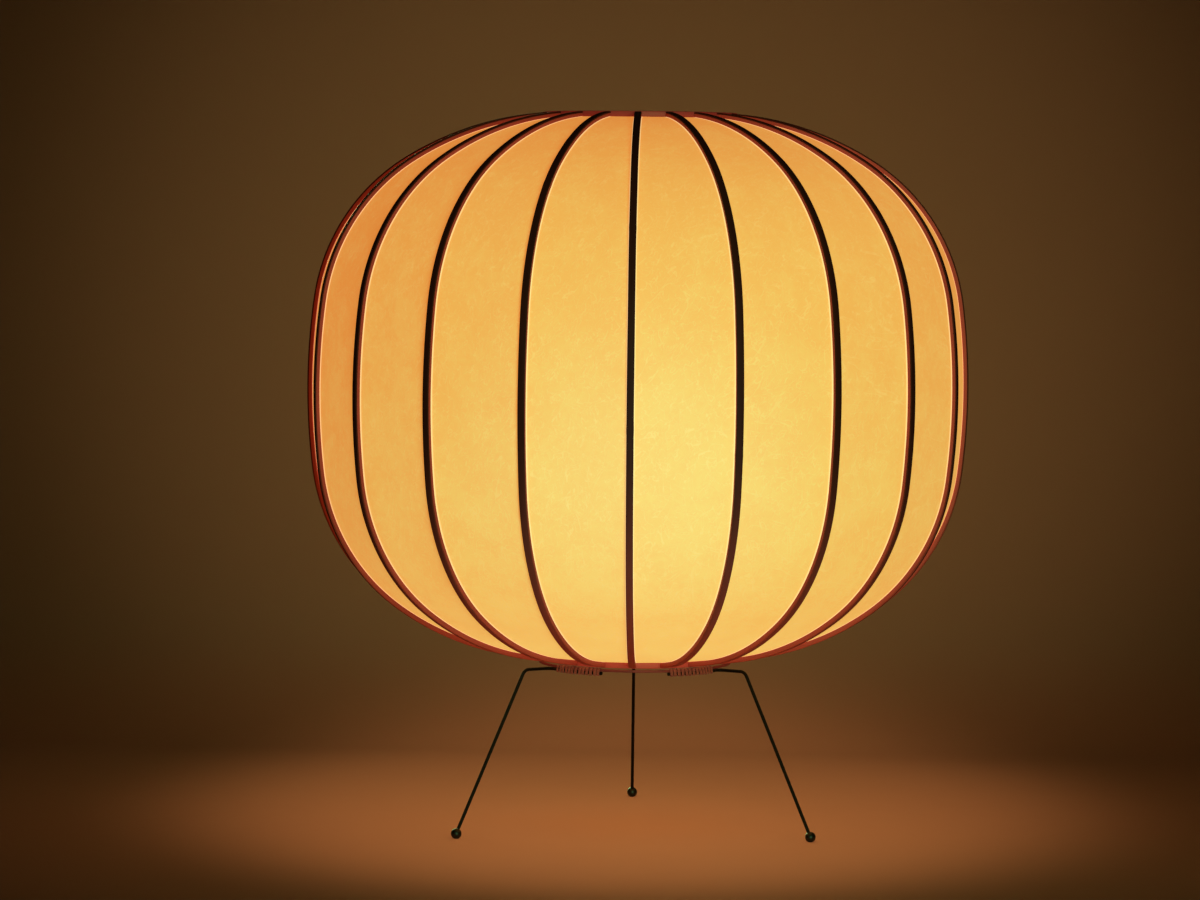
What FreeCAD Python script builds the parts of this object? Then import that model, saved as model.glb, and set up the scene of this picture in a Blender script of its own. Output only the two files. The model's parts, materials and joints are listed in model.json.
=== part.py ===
import FreeCAD, Part
import os
from math import acos, asin, atan2, ceil, cos, degrees, hypot, pi, radians, sin, sqrt, tan

import Sketcher

# Paper lantern floor lamp, in millimetres. +Z is up, the floor is Z = 0 and the axis of the
# shade is the Z axis. An azimuth is measured about that axis from -Y, the front, towards +X.

SIZES = {
    # Shade: a rib's outer face is a chain of tangent arcs, up and down from the belly.
    "shade_radius": 300.0,        # widest point, over the outer faces of the ribs
    "belly_height": 399.0,        # widest point above the floor
    "belly_curve": 595.6,
    "upper_belly_turn": 7.73,     # degrees
    "lower_belly_turn": 7.07,
    "shoulder_curve": 179.7,
    "shoulder_turn": 50.0,
    "crown_curve": 274.7,
    "crown_turn": 26.4,
    "haunch_curve": 179.3,
    "haunch_turn": 46.6,
    "base_curve": 250.0,
    "base_turn": 28.33,
    "facet_turn": 9.0,            # degrees turned by each flat of the ribs and gores
    # Ribs, split bamboo
    "rib_count": 20,
    "rib_width": 5.8,
    "rib_depth": 4.2,
    "rib_seat_gap": 0.05,         # glue between a rib's end and its hoop
    # Paper gores, one between each two ribs
    "paper_thickness": 0.4,
    "paste_line": 0.1,            # paste between the paper and a rib
    "seam_gap": 0.3,              # between the edges of two gores, behind a rib
    "paper_trim_gap": 0.2,        # between a gore's end and the hoop
    # Hoops, bent bamboo
    "top_hoop_radius": 88.0,
    "bottom_hoop_radius": 88.0,
    "hoop_thickness": 3.0,
    "hoop_height": 5.5,
    "hoop_lip": 0.6,              # hoop standing past the ribs' ends
    # Carrier ring, lashed under the bottom hoop on top of the leg wires
    "ring_width": 2.2,
    "ring_height": 2.4,
    "ring_inset": 0.2,            # ring's rim behind the hoop's rim
    # Legs, bent steel wire
    "wire_diameter": 3.0,
    "leg_turn": 1.4,              # degrees, tripod against the ribs
    "leg_spread_radius": 182.5,   # circle of the feet
    "leg_bend_out": 27.3,         # corner of each leg outside the ring's middle line
    "leg_bend_radius": 7.0,
    "arm_corner_radius": 6.0,
    "arm_sweep": 40.0,            # degrees of the ring that an arm lies under
    "wire_ring_gap": 0.1,
    "wire_sides": 12,
    "bend_facet_turn": 14.0,      # degrees turned at most by each flat of a tight bend
    "arm_facet_turn": 6.0,        # and of the arm under the ring
    # Lashings, wound cord
    "cord_size": 0.7,             # side of the square cord
    "lashing_turns": 5,
    "lashing_start": 8.0,         # degrees along the arm from its leg
    "lashing_sweep": 29.0,
    "lashing_clearance": 0.06,
    # Feet, balls pushed on the wire
    "foot_diameter": 9.6,
    "foot_flat_radius": 2.2,
    "wire_fit": 0.05,             # radial clearance of the wire in a foot
    "wire_past_centre": 1.0,
    "foot_sides": 16,
    "foot_bands": 6,
    # Bridge, a steel strap across the bottom hoop
    "bridge_azimuth": 81.0,
    "bridge_width": 14.0,
    "bridge_thickness": 1.5,
    "bridge_bend": 1.0,           # inside radius of the bends
    "bridge_drop": 1.0,           # strap's underside below the hoop
    "bridge_clearance": 0.1,
    "tab_margin": 0.5,            # tab's edge below the hoop's top
    "screw_radius": 1.0,
    "screw_head_radius": 1.5,
    "screw_head_height": 0.8,
    "screw_length": 3.8,          # under the head
    "screw_clearance": 0.05,
    # Stem, threaded tube that carries the lampholder
    "stem_radius": 5.0,
    "stem_bore_radius": 3.8,
    "stem_entry": 8.0,            # end of the stem inside the lampholder's cap
    "stem_fit": 0.1,
    "nut_width": 14.0,            # across corners
    "nut_height": 3.0,
    "bush_radius": 6.6,
    "bush_bore_radius": 3.3,
    "bush_bore_length": 3.0,
    "bush_socket_depth": 2.0,
    # Lampholder
    "holder_rise": 52.0,          # lampholder above the bridge
    "holder_side_count": 12,
    "holder_radius": 20.0,        # across corners
    "holder_neck_radius": 13.0,
    "holder_neck_height": 4.0,
    "holder_cap_height": 12.0,
    "holder_cap_floor": 7.0,
    "holder_chamber_radius": 15.0,
    "holder_skirt_height": 38.0,
    "holder_skirt_floor": 3.0,
    "socket_wall": 0.9,
    "socket_height": 31.0,
    "socket_fit": 0.1,
    "contact_width": 6.0,
    "contact_thickness": 0.6,
    "contact_length": 14.0,
    "contact_rise": 3.5,
    # Bulb with a screw cap
    "bulb_cap_radius": 13.2,
    "bulb_cap_length": 23.0,
    "bulb_cap_fit": 0.4,          # radial clearance in the socket
    "bulb_button_radius": 4.5,
    "bulb_button_height": 1.2,
    "bulb_insulator_height": 3.0,
    "bulb_insulator_radius": 9.0,
    "bulb_radius": 30.0,
    "bulb_neck_radius": 13.8,
    "bulb_length": 105.0,         # from the button to the crown
    "bulb_shoulder_angle": 40.0,  # where the shoulder leaves the globe, under its middle
    "bulb_bands": 7,              # flat bands of the globe, up its side
    "bulb_sides": 24,
    "bulb_gap": 0.3,              # between parts that turn against each other
}

doc = FreeCAD.newDocument("paper_lantern_floor_lamp")
Vector = FreeCAD.Vector


def new_sheet(name, values):
    """A spreadsheet with one plain number in each row, under its own alias."""
    sheet = doc.addObject("Spreadsheet::Sheet", name)
    for row, (alias, value) in enumerate(values.items(), 1):
        sheet.set(f"A{row}", alias.replace("_", " "))
        sheet.set(f"B{row}", repr(value))
        sheet.setAlias(f"B{row}", alias)
    doc.recompute()
    return sheet


sizes = new_sheet("sizes", SIZES)


# ---- Shade outline -------------------------------------------------------------------------

top_seat = sizes.top_hoop_radius + sizes.rib_seat_gap
bottom_seat = sizes.bottom_hoop_radius + sizes.rib_seat_gap


def chain_of_arcs(way, seat, steps):
    """Arcs (centre x, centre z, radius, first normal, last normal) from the belly up or down.

    An arc stops where the deepest face that follows it would come to the hoop's seat.
    """
    curve = sizes.belly_curve
    x = sizes.shade_radius - curve
    z = sizes.belly_height
    deepest = sizes.rib_depth + sizes.paste_line + sizes.paper_thickness
    turned = 0.0
    arcs = []
    for next_curve, turn in steps:
        x += (curve - next_curve) * cos(turned)
        z += (curve - next_curve) * sin(way * turned)
        curve = next_curve
        furthest = acos(max(-1.0, min(1.0, (seat - x) / (curve - deepest))))
        last = max(turned, min(turned + radians(turn), furthest))
        arcs.append((x, z, curve, way * turned, way * last))
        turned = last
    return arcs


def shade_arcs():
    """The tangent arcs of a rib's outer face, from the top hoop to the bottom hoop."""
    upper = chain_of_arcs(1, top_seat, [(sizes.belly_curve, sizes.upper_belly_turn),
                                        (sizes.shoulder_curve, sizes.shoulder_turn),
                                        (sizes.crown_curve, sizes.crown_turn)])
    lower = chain_of_arcs(-1, bottom_seat, [(sizes.belly_curve, sizes.lower_belly_turn),
                                            (sizes.haunch_curve, sizes.haunch_turn),
                                            (sizes.base_curve, sizes.base_turn)])
    downward = [(x, z, curve, last, first) for x, z, curve, first, last in reversed(upper)]
    x, z, curve, first, _ = downward.pop()
    belly = (x, z, curve, first, lower[0][4])
    return downward + [belly] + lower[1:]


ARCS = shade_arcs()


def on_arc(arc, depth, normal):
    """Point (x, z) of an arc's face, a depth inside the outer face, at a normal's angle."""
    x, z, curve = arc[:3]
    return (x + (curve - depth) * cos(normal), z + (curve - depth) * sin(normal))


def run_out(arc, depth, normal, way, reach):
    """Where the straight run past the last arc comes to a distance from the axis."""
    x, z = on_arc(arc, depth, normal)
    return (reach, z + way * (x - reach) / tan(abs(normal)))


def top_end(depth, reach):
    return run_out(ARCS[0], depth, ARCS[0][3], 1, reach)


def bottom_end(depth, reach):
    return run_out(ARCS[-1], depth, ARCS[-1][4], -1, reach)


# ---- Heights that follow from the sizes ------------------------------------------------------

cord_half = sizes.cord_size / sqrt(2)
stack_height = sizes.ring_height + sizes.wire_ring_gap + sizes.wire_diameter
ring_radius = sizes.bottom_hoop_radius - sizes.ring_inset - sizes.ring_width / 2
coil_radius = (hypot(sizes.ring_width / 2, stack_height / 2) + cord_half
               + sizes.lashing_clearance)

levels = {}
levels["top_hoop_base"] = top_end(0, top_seat)[1] + sizes.hoop_lip - sizes.hoop_height
levels["bottom_hoop_base"] = bottom_end(0, bottom_seat)[1] - sizes.hoop_lip
levels["lashing_middle"] = (levels["bottom_hoop_base"] - sizes.lashing_clearance
                            - cord_half - coil_radius)
levels["ring_base"] = levels["lashing_middle"] + stack_height / 2 - sizes.ring_height
levels["wire_middle"] = levels["lashing_middle"] - stack_height / 2 + sizes.wire_diameter / 2
levels["bridge_base"] = levels["bottom_hoop_base"] - sizes.bridge_drop
levels["bridge_top"] = levels["bridge_base"] + sizes.bridge_thickness
levels["tab_top"] = levels["bottom_hoop_base"] + sizes.hoop_height - sizes.tab_margin
levels["screw_middle"] = (levels["tab_top"] + levels["bridge_top"] + sizes.bridge_bend) / 2
levels["lower_nut_base"] = levels["bridge_base"] - sizes.nut_height
levels["bush_top"] = levels["lower_nut_base"] - sizes.stem_fit
levels["stem_base"] = levels["bush_top"] - sizes.bush_socket_depth + sizes.stem_fit
levels["bush_base"] = levels["stem_base"] - sizes.stem_fit - sizes.bush_bore_length
levels["holder_base"] = levels["bridge_top"] + sizes.holder_rise
levels["stem_height"] = levels["holder_base"] + sizes.stem_entry - levels["stem_base"]
levels["skirt_base"] = levels["holder_base"] + sizes.holder_cap_height
levels["socket_base"] = levels["skirt_base"] + sizes.holder_skirt_floor
levels["contact_top"] = levels["socket_base"] + sizes.contact_rise
levels["bulb_base"] = levels["contact_top"] + sizes.bulb_gap
levels["bulb_cap_base"] = (levels["bulb_base"] + sizes.bulb_button_height
                           + sizes.bulb_insulator_height + sizes.bulb_gap)
levels["bulb_cap_top"] = levels["bulb_cap_base"] + sizes.bulb_cap_length
levels["bulb_top"] = levels["bulb_base"] + sizes.bulb_length
levels["foot_middle"] = sqrt((sizes.foot_diameter / 2) ** 2 - sizes.foot_flat_radius ** 2)
levels["socket_radius"] = sizes.bulb_cap_radius + sizes.bulb_cap_fit
heights = new_sheet("heights", levels)


# ---- Small tools for building the sub-parts ---------------------------------------------------

def name_part(part, name):
    """Give a finished sub-part the name of its file."""
    part.Label = name
    return part


def turned_about_axis(azimuth):
    """Placement that turns a piece drawn along +X to an azimuth of the lamp."""
    return FreeCAD.Placement(Vector(), FreeCAD.Rotation(Vector(0, 0, 1), azimuth - 90))


def bind(part, **expressions):
    """Bind properties to cells; a double underscore stands for a dot in a property's path."""
    for path, expression in expressions.items():
        part.setExpression(path.replace("__", "."), expression)
    return part


def cylinder(name, radius, height, base="0"):
    """Upright cylinder on the lamp's axis, bound to the sheets."""
    part = doc.addObject("Part::Cylinder", name)
    return bind(part, Radius=radius, Height=height, Placement__Base__z=base)


def prism(name, sides, radius, height, base):
    """Upright regular prism on the lamp's axis, bound to the sheets."""
    part = doc.addObject("Part::Prism", name)
    return bind(part, Polygon=sides, Circumradius=radius, Height=height, Placement__Base__z=base)


def cut(name, base, tool):
    part = doc.addObject("Part::Cut", name)
    part.Base = base
    part.Tool = tool
    return part


def tube(name, outer, inner, height, base):
    """Tube on the lamp's axis."""
    part = cut(name, cylinder(name + "_outside", outer, height, base),
               cylinder(name + "_bore", inner, height, base))
    return name_part(part, name)


def new_body(name):
    body = doc.addObject("PartDesign::Body", name)
    return name_part(body, name)


def new_sketch(body, name, role):
    """Empty sketch on one of a body's own origin planes."""
    sketch = body.newObject("Sketcher::SketchObject", name)
    plane = next(item for item in body.Origin.OriginFeatures if item.Role == role)
    sketch.AttachmentSupport = [(plane, "")]
    sketch.MapMode = "FlatFace"
    return sketch


def draw_loop(sketch, curves):
    """Draw curves end to end in a sketch and join their ends."""
    ends = []
    for curve in curves:
        index = sketch.addGeometry(curve)
        forward = (sketch.getPoint(index, 1) - curve.StartPoint).Length < 1e-6
        ends.append((index, 1, 2) if forward else (index, 2, 1))
    for (index, _, end), (following, start, _) in zip(ends, ends[1:] + ends[:1]):
        sketch.addConstraint(Sketcher.Constraint("Coincident", index, end, following, start))


def line(start, end):
    return Part.LineSegment(Vector(*start, 0), Vector(*end, 0))


def arc(start, middle, end):
    return Part.Arc(Vector(*start, 0), Vector(*middle, 0), Vector(*end, 0))


def polygon(points):
    """Closed loop of straight lines through points."""
    return [line(point, points[(index + 1) % len(points)]) for index, point in enumerate(points)]


def draw_circle(sketch, centre, radius):
    """Circle whose radius is bound to a sheet."""
    index = sketch.addGeometry(Part.Circle(Vector(*centre, 0), Vector(0, 0, 1), 1.0))
    place = sketch.addConstraint(Sketcher.Constraint("Radius", index, 1.0))
    sketch.setExpression(f"Constraints[{place}]", radius)


def symmetric_pad(body, sketch, length):
    pad = body.newObject("PartDesign::Pad", body.Name + "_pad")
    pad.Profile = sketch
    pad.SideType = "Symmetric"
    return bind(pad, Length=length)


def through_pocket(body, sketch, name):
    """Pocket through the whole body, both ways from its sketch."""
    pocket = body.newObject("PartDesign::Pocket", name)
    pocket.Profile = sketch
    pocket.Type = "ThroughAll"
    pocket.Midplane = True
    return pocket


def turned_body(name, outline):
    """Body of revolution about the lamp's axis, from (radius, height) points."""
    body = new_body(name)
    sketch = new_sketch(body, name + "_outline", "XZ_Plane")
    draw_loop(sketch, polygon(outline))
    turn = body.newObject("PartDesign::Revolution", name + "_turn")
    turn.Profile = sketch
    turn.ReferenceAxis = (sketch, ["V_Axis"])
    turn.Angle = 360
    return body


def skin(rings):
    """Solid of flat faces between rings of as many corners each, closed at both ends."""
    loops = [rings[0], rings[-1]]
    for low, high in zip(rings, rings[1:]):
        loops += [[low[side - 1], low[side], high[side], high[side - 1]]
                  for side in range(len(low))]
    faces = [Part.Face(Part.makePolygon(loop + loop[:1])) for loop in loops]
    solid = Part.Solid(Part.Shell(faces))
    return solid if solid.Volume > 0 else solid.reversed()


def faceted_solid(outline, sides):
    """Solid of flat faces round the lamp's axis through (radius, height) corners going up."""
    turns = [2 * pi * side / sides for side in range(sides)]
    return skin([[Vector(radius * cos(turn), radius * sin(turn), height) for turn in turns]
                 for radius, height in outline])


def faceted_wire(points, radius, sides):
    """Wire of flat faces along straight runs, mitred where two runs meet."""
    ways = [(end - start).normalize() for start, end in zip(points, points[1:])]
    side = ways[0].cross(Vector(0, 1, 0)).normalize()
    rise = ways[0].cross(side)
    turns = [2 * pi * index / sides for index in range(sides)]
    ring = [points[0] + side * radius * cos(turn) + rise * radius * sin(turn) for turn in turns]
    rings = [ring]
    for way, following, end in zip(ways, ways[1:] + ways[-1:], points[1:]):
        normal = way + following
        ring = [corner + way * ((end - corner).dot(normal) / way.dot(normal)) for corner in ring]
        rings.append(ring)
    return skin(rings)


# ---- Ribs ------------------------------------------------------------------------------------

def long_face(depth, top_reach, bottom_reach):
    """Corners (x, z) of a face that runs down the shade: flats between points on its arcs."""
    points = [top_end(depth, top_reach), on_arc(ARCS[0], depth, ARCS[0][3])]
    for piece in ARCS:
        first, last = piece[3:]
        count = max(1, round(degrees(first - last) / sizes.facet_turn))
        points += [on_arc(piece, depth, first + (last - first) * step / count)
                   for step in range(1, count + 1)]
    return points + [bottom_end(depth, bottom_reach)]


def build_ribs():
    depth = sizes.rib_depth
    outer = long_face(0, top_seat, bottom_seat)
    inner = long_face(depth, top_seat, bottom_seat)
    outline = polygon(outer + inner[::-1])
    ribs = []
    for index in range(round(sizes.rib_count)):
        body = new_body(f"rib_{index + 1:02d}")
        sketch = new_sketch(body, body.Name + "_outline", "XZ_Plane")
        draw_loop(sketch, outline)
        symmetric_pad(body, sketch, "sizes.rib_width")
        body.Placement = turned_about_axis(index * 360 / sizes.rib_count)
        ribs.append(body)
    return ribs


# ---- Paper gores -----------------------------------------------------------------------------

def gore_shape():
    """One gore along +X: flats from rib to rib, trimmed round the hoops."""
    half = pi / sizes.rib_count
    outside = sizes.rib_depth + sizes.paste_line
    reaches = (sizes.top_hoop_radius - sizes.hoop_thickness,
               sizes.bottom_hoop_radius - sizes.hoop_thickness)

    def corner(reach, height, side):
        """Point of a face that far out in a rib's plane, at one edge of the gore."""
        across = reach * sin(half) - sizes.seam_gap / 2 / cos(half)
        return Vector(reach * cos(half), side * across, height)

    rings = [[corner(*outer, -1), corner(*outer, 1), corner(*inner, 1), corner(*inner, -1)]
             for outer, inner in zip(long_face(outside, *reaches),
                                     long_face(outside + sizes.paper_thickness, *reaches))]
    gore = skin(rings)
    low = levels["bottom_hoop_base"] - sizes.hoop_height
    middle = sizes.belly_height
    high = levels["top_hoop_base"] + 2 * sizes.hoop_height
    for radius, start, end in ((sizes.bottom_hoop_radius, low, middle),
                               (sizes.top_hoop_radius, middle, high)):
        core = Part.makeCylinder(radius + sizes.paper_trim_gap, end - start,
                                 Vector(0, 0, start))
        gore = gore.cut(core)
    return max(gore.Solids, key=lambda solid: solid.Volume)


def build_gores():
    shape = gore_shape()
    gores = []
    for index in range(round(sizes.rib_count)):
        gore = doc.addObject("Part::Feature", f"paper_gore_{index + 1:02d}")
        gore.Shape = shape
        gore.Placement = turned_about_axis((index + 0.5) * 360 / sizes.rib_count)
        gores.append(name_part(gore, gore.Name))
    return gores


# ---- Hoops and carrier ring --------------------------------------------------------------------

def screw_plane():
    """Distance from the axis to the flat of a bridge tab that faces the hoop."""
    inner = sizes.bottom_hoop_radius - sizes.hoop_thickness
    return sqrt(inner ** 2 - (sizes.bridge_width / 2) ** 2) - sizes.bridge_clearance


def screw_holes(name):
    """Two blind holes in the bottom hoop for the bridge's screws."""
    start = screw_plane() - sizes.bridge_thickness
    length = sizes.screw_length + sizes.screw_clearance
    radius = sizes.screw_radius + sizes.screw_clearance
    holes = []
    for side in (0, 180):
        hole = doc.addObject("Part::Cylinder", f"{name}_{side}")
        hole.Radius = radius
        hole.Height = length
        turn = FreeCAD.Rotation(Vector(0, 0, 1), sizes.bridge_azimuth - 90 + side)
        lay = FreeCAD.Rotation(Vector(0, 1, 0), 90)
        place = turn.multVec(Vector(start, 0, 0)) + Vector(0, 0, levels["screw_middle"])
        hole.Placement = FreeCAD.Placement(place, turn.multiply(lay))
        holes.append(hole)
    group = doc.addObject("Part::Compound", name)
    group.Links = holes
    return group


def build_hoops():
    top = tube("top_hoop", "sizes.top_hoop_radius", "sizes.top_hoop_radius - sizes.hoop_thickness",
               "sizes.hoop_height", "heights.top_hoop_base")
    band = tube("bottom_hoop_band", "sizes.bottom_hoop_radius",
                "sizes.bottom_hoop_radius - sizes.hoop_thickness",
                "sizes.hoop_height", "heights.bottom_hoop_base")
    bottom = name_part(cut("bottom_hoop_drilled", band, screw_holes("hoop_holes")), "bottom_hoop")
    ring = tube("carrier_ring", "sizes.bottom_hoop_radius - sizes.ring_inset",
                "sizes.bottom_hoop_radius - sizes.ring_inset - sizes.ring_width",
                "sizes.ring_height", "heights.ring_base")
    return [top, bottom, ring]


# ---- Legs, feet and lashings -------------------------------------------------------------------

# Each leg's azimuth, and the way its arm runs round the ring: +1 with the azimuth, -1 against.
LEGS = {"left": (-60.0, 1), "right": (60.0, -1), "rear": (180.0, 1)}


def tangent_arc(start, corner, end):
    """Arc that leaves start towards corner and comes to end away from it; both are as far."""
    middle = (start + end) / 2
    rise = corner - middle
    half = (end - start).Length / 2
    leg = (corner - start).Length
    radius = leg * half / rise.Length
    sagitta = radius - sqrt(radius ** 2 - half ** 2)
    return Part.Arc(start, middle + rise.normalize() * sagitta, end).toShape()


def points_along(edges, turns):
    """Points on lines and arcs; each arc has flats that turn at most its own angle."""
    points = [edges[0].valueAt(edges[0].FirstParameter)]
    for edge, turn in zip(edges, turns):
        straight = isinstance(edge.Curve, Part.Line)
        count = 1 if straight else ceil(degrees(edge.Length / edge.Curve.Radius) / turn)
        points += edge.discretize(count + 1)[1:]
    return points


def leg_corner():
    """Corner of a leg wire and its foot end, in the plane of the leg along +X."""
    corner = Vector(ring_radius + sizes.leg_bend_out, 0, levels["wire_middle"])
    ball = Vector(sizes.leg_spread_radius, 0, levels["foot_middle"])
    return corner, ball, (ball - corner).normalize()


def leg_shape(way):
    """One leg along +X: up from its foot, in to the ring, and round under the ring."""
    corner, ball, down = leg_corner()
    turn = atan2(-down.z, down.x)
    setback = sizes.leg_bend_radius * tan(turn / 2)
    knee = corner + down * setback
    shoulder = corner - Vector(setback, 0, 0)
    fillet = sizes.arm_corner_radius
    lead = asin(fillet / (ring_radius + fillet))
    height = levels["wire_middle"]

    def under_ring(angle):
        return Vector(ring_radius * cos(angle), way * ring_radius * sin(angle), height)

    turn_start = Vector((ring_radius + fillet) * cos(lead), 0, height)
    turn_middle = turn_start + Vector(0, way * fillet, 0) + Vector(
        -sin((pi / 2 - lead) / 2), -way * cos((pi / 2 - lead) / 2), 0) * fillet
    end = radians(sizes.arm_sweep)
    foot_end = ball + down * sizes.wire_past_centre
    edges = [Part.LineSegment(foot_end, knee).toShape(),
             tangent_arc(knee, corner, shoulder),
             Part.LineSegment(shoulder, turn_start).toShape(),
             Part.Arc(turn_start, turn_middle, under_ring(lead)).toShape(),
             Part.Arc(under_ring(lead), under_ring((lead + end) / 2), under_ring(end)).toShape()]
    turns = [sizes.bend_facet_turn] * (len(edges) - 1) + [sizes.arm_facet_turn]
    points = points_along(edges, turns)
    return faceted_wire(points, sizes.wire_diameter / 2, round(sizes.wire_sides))


def foot_shape():
    """Ball under a leg along +X, flat on the floor and drilled for the wire."""
    _, ball, down = leg_corner()
    radius = sizes.foot_diameter / 2
    low = -asin(ball.z / radius)
    bands = round(sizes.foot_bands)
    step = (pi / 2 - low) / (bands + 0.5)
    outline = [(radius * cos(low + step * band), ball.z + radius * sin(low + step * band))
               for band in range(bands + 1)]
    foot = faceted_solid(outline, round(sizes.foot_sides))
    foot.translate(Vector(ball.x, 0, 0))
    depth = sizes.wire_past_centre + sizes.wire_fit
    hole = Part.makeCylinder(sizes.wire_diameter / 2 + sizes.wire_fit, 2 * radius,
                             ball + down * depth, -down)
    return foot.cut(hole)


def coil_point(angle, share):
    """Point and direction of a lashing's middle line, wound round the arm and the ring."""
    start = radians(sizes.lashing_start)
    span = radians(sizes.lashing_sweep)
    place = start + span * share
    rate = span / (2 * pi * sizes.lashing_turns)
    reach = ring_radius + coil_radius * cos(angle)
    height = levels["lashing_middle"] + coil_radius * sin(angle)
    point = Vector(reach * cos(place), reach * sin(place), height)
    swing = -coil_radius * sin(angle)
    direction = Vector(swing * cos(place) - reach * sin(place) * rate,
                       swing * sin(place) + reach * cos(place) * rate,
                       coil_radius * cos(angle))
    return point, direction.normalize()


def biarc(start, start_way, end, end_way):
    """Two tangent arcs from a point and direction to a point and direction."""
    across = end - start
    both = start_way + end_way
    pull = across.dot(both)
    bend = 2 * (1 - start_way.dot(end_way))
    reach = (sqrt(pull ** 2 + bend * across.dot(across)) - pull) / bend
    first = start + start_way * reach
    last = end - end_way * reach
    join = (first + last) / 2
    return [tangent_arc(start, first, join), tangent_arc(join, last, end)]


def lashing_edges():
    """Middle line of a lashing along +X: half turns as biarcs, and a straight bit each end."""
    halves = round(sizes.lashing_turns * 2)
    stops = [coil_point(-pi / 2 + index * pi, index / halves) for index in range(halves + 1)]
    edges = []
    for (start, start_way), (end, end_way) in zip(stops, stops[1:]):
        edges += biarc(start, start_way, end, end_way)
    (first, first_way), (last, last_way) = stops[0], stops[-1]
    lead = Part.LineSegment(first - first_way * sizes.cord_size, first).toShape()
    tail = Part.LineSegment(last, last + last_way * sizes.cord_size).toShape()
    return [lead] + edges + [tail]


def lashing_shape():
    """Cord of square section wound round a leg's arm and the carrier ring along +X."""
    edges = lashing_edges()
    start = edges[0].Vertexes[0].Point
    along = edges[0].tangentAt(edges[0].FirstParameter)
    side = along.cross(Vector(0, 0, 1)).normalize() * (sizes.cord_size / 2)
    rise = along.cross(side).normalize() * (sizes.cord_size / 2)
    corners = [start + side + rise, start - side + rise, start - side - rise, start + side - rise]
    profile = Part.makePolygon(corners + corners[:1])
    return Part.Wire(edges).makePipeShell([profile], True, False)


def print_least_gap():
    """Measure on points how close a lashing's turns come to each other."""
    steps = 24
    count = ceil(sizes.lashing_turns * steps)
    points = [coil_point(2 * pi * index / steps, index / count)[0] for index in range(count + 1)]
    gap = min((points[later] - points[index]).Length for index in range(count + 1)
              for later in range(index + steps // 2, count + 1)) - 2 * cord_half
    print(f"least gap between turns of a lashing: {gap:.2f} mm")


def build_tripod():
    parts = []
    feet = []
    lashings = []
    coil = lashing_shape()
    for name, (azimuth, way) in LEGS.items():
        place = turned_about_axis(azimuth + sizes.leg_turn)
        leg = doc.addObject("Part::Feature", f"leg_{name}")
        leg.Shape = leg_shape(way)
        leg.Placement = place
        parts.append(name_part(leg, leg.Name))
        foot = foot_shape()
        foot.Placement = place
        feet.append(foot)
        lashing = coil if way > 0 else coil.mirror(Vector(), Vector(0, 1, 0))
        lashing = lashing.copy()
        lashing.Placement = place.multiply(lashing.Placement)
        lashings.append(lashing)
    for name, shapes in (("feet", feet), ("leg_lashings", lashings)):
        group = doc.addObject("Part::Feature", name)
        group.Shape = Part.makeCompound(shapes)
        parts.append(name_part(group, name))
    print_least_gap()
    return parts


# ---- Bridge, screws, stem and inlet bush ----------------------------------------------------------

def backwards(curves):
    """The same lines and arcs drawn from the far end."""
    result = []
    for curve in reversed(curves):
        middle = curve.value((curve.FirstParameter + curve.LastParameter) / 2)
        start, end = curve.EndPoint, curve.StartPoint
        straight = isinstance(curve, Part.LineSegment)
        result.append(Part.LineSegment(start, end) if straight else Part.Arc(start, middle, end))
    return result


def strap_half(way):
    """Half of the U of the strap seen from its side, from the middle out along X and back."""
    far = screw_plane()
    low, top, tip = levels["bridge_base"], levels["bridge_top"], levels["tab_top"]
    wall = sizes.bridge_thickness
    outside = sizes.bridge_bend + wall
    centre_x, centre_z = far - outside, low + outside

    def bend(radius, heading):
        return (way * (centre_x + radius * cos(heading)), centre_z + radius * sin(heading))

    def round_bend(radius):
        return [bend(radius, radians(angle)) for angle in (-90, -45, 0)]

    outer = round_bend(outside)
    inner = round_bend(sizes.bridge_bend)[::-1]
    return [line((0, low), outer[0]),
            arc(*outer),
            line(outer[-1], (way * far, tip)),
            line((way * far, tip), (way * (far - wall), tip)),
            line((way * (far - wall), tip), inner[0]),
            arc(*inner),
            line(inner[-1], (0, top))]


def build_bridge():
    body = new_body("holder_bridge")
    sketch = new_sketch(body, "strap_outline", "XZ_Plane")
    draw_loop(sketch, strap_half(1) + backwards(strap_half(-1)))
    symmetric_pad(body, sketch, "sizes.bridge_width")
    hole = new_sketch(body, "stem_hole", "XY_Plane")
    draw_circle(hole, (0, 0), "sizes.stem_radius + sizes.stem_fit")
    through_pocket(body, hole, "stem_hole_cut")
    tabs = new_sketch(body, "tab_holes", "YZ_Plane")
    draw_circle(tabs, (0, levels["screw_middle"]), "sizes.screw_radius + sizes.screw_clearance")
    through_pocket(body, tabs, "tab_holes_cut")
    body.Placement = turned_about_axis(sizes.bridge_azimuth)
    return body


def build_bridge_screws():
    """Two pan-headed screws, from inside each tab into the hoop."""
    seat = screw_plane() - sizes.bridge_thickness
    height = levels["screw_middle"]
    screws = []
    for side in (0, 180):
        outward = FreeCAD.Rotation(Vector(0, 0, 1), sizes.bridge_azimuth - 90 + side)
        way = outward.multVec(Vector(1, 0, 0))
        start = way * seat + Vector(0, 0, height)
        shank = Part.makeCylinder(sizes.screw_radius, sizes.screw_length, start, way)
        head = Part.makeCylinder(sizes.screw_head_radius, sizes.screw_head_height, start, -way)
        screws.append(shank.fuse(head).removeSplitter())
    group = doc.addObject("Part::Feature", "bridge_screws")
    group.Shape = Part.makeCompound(screws)
    return name_part(group, "bridge_screws")


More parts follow.
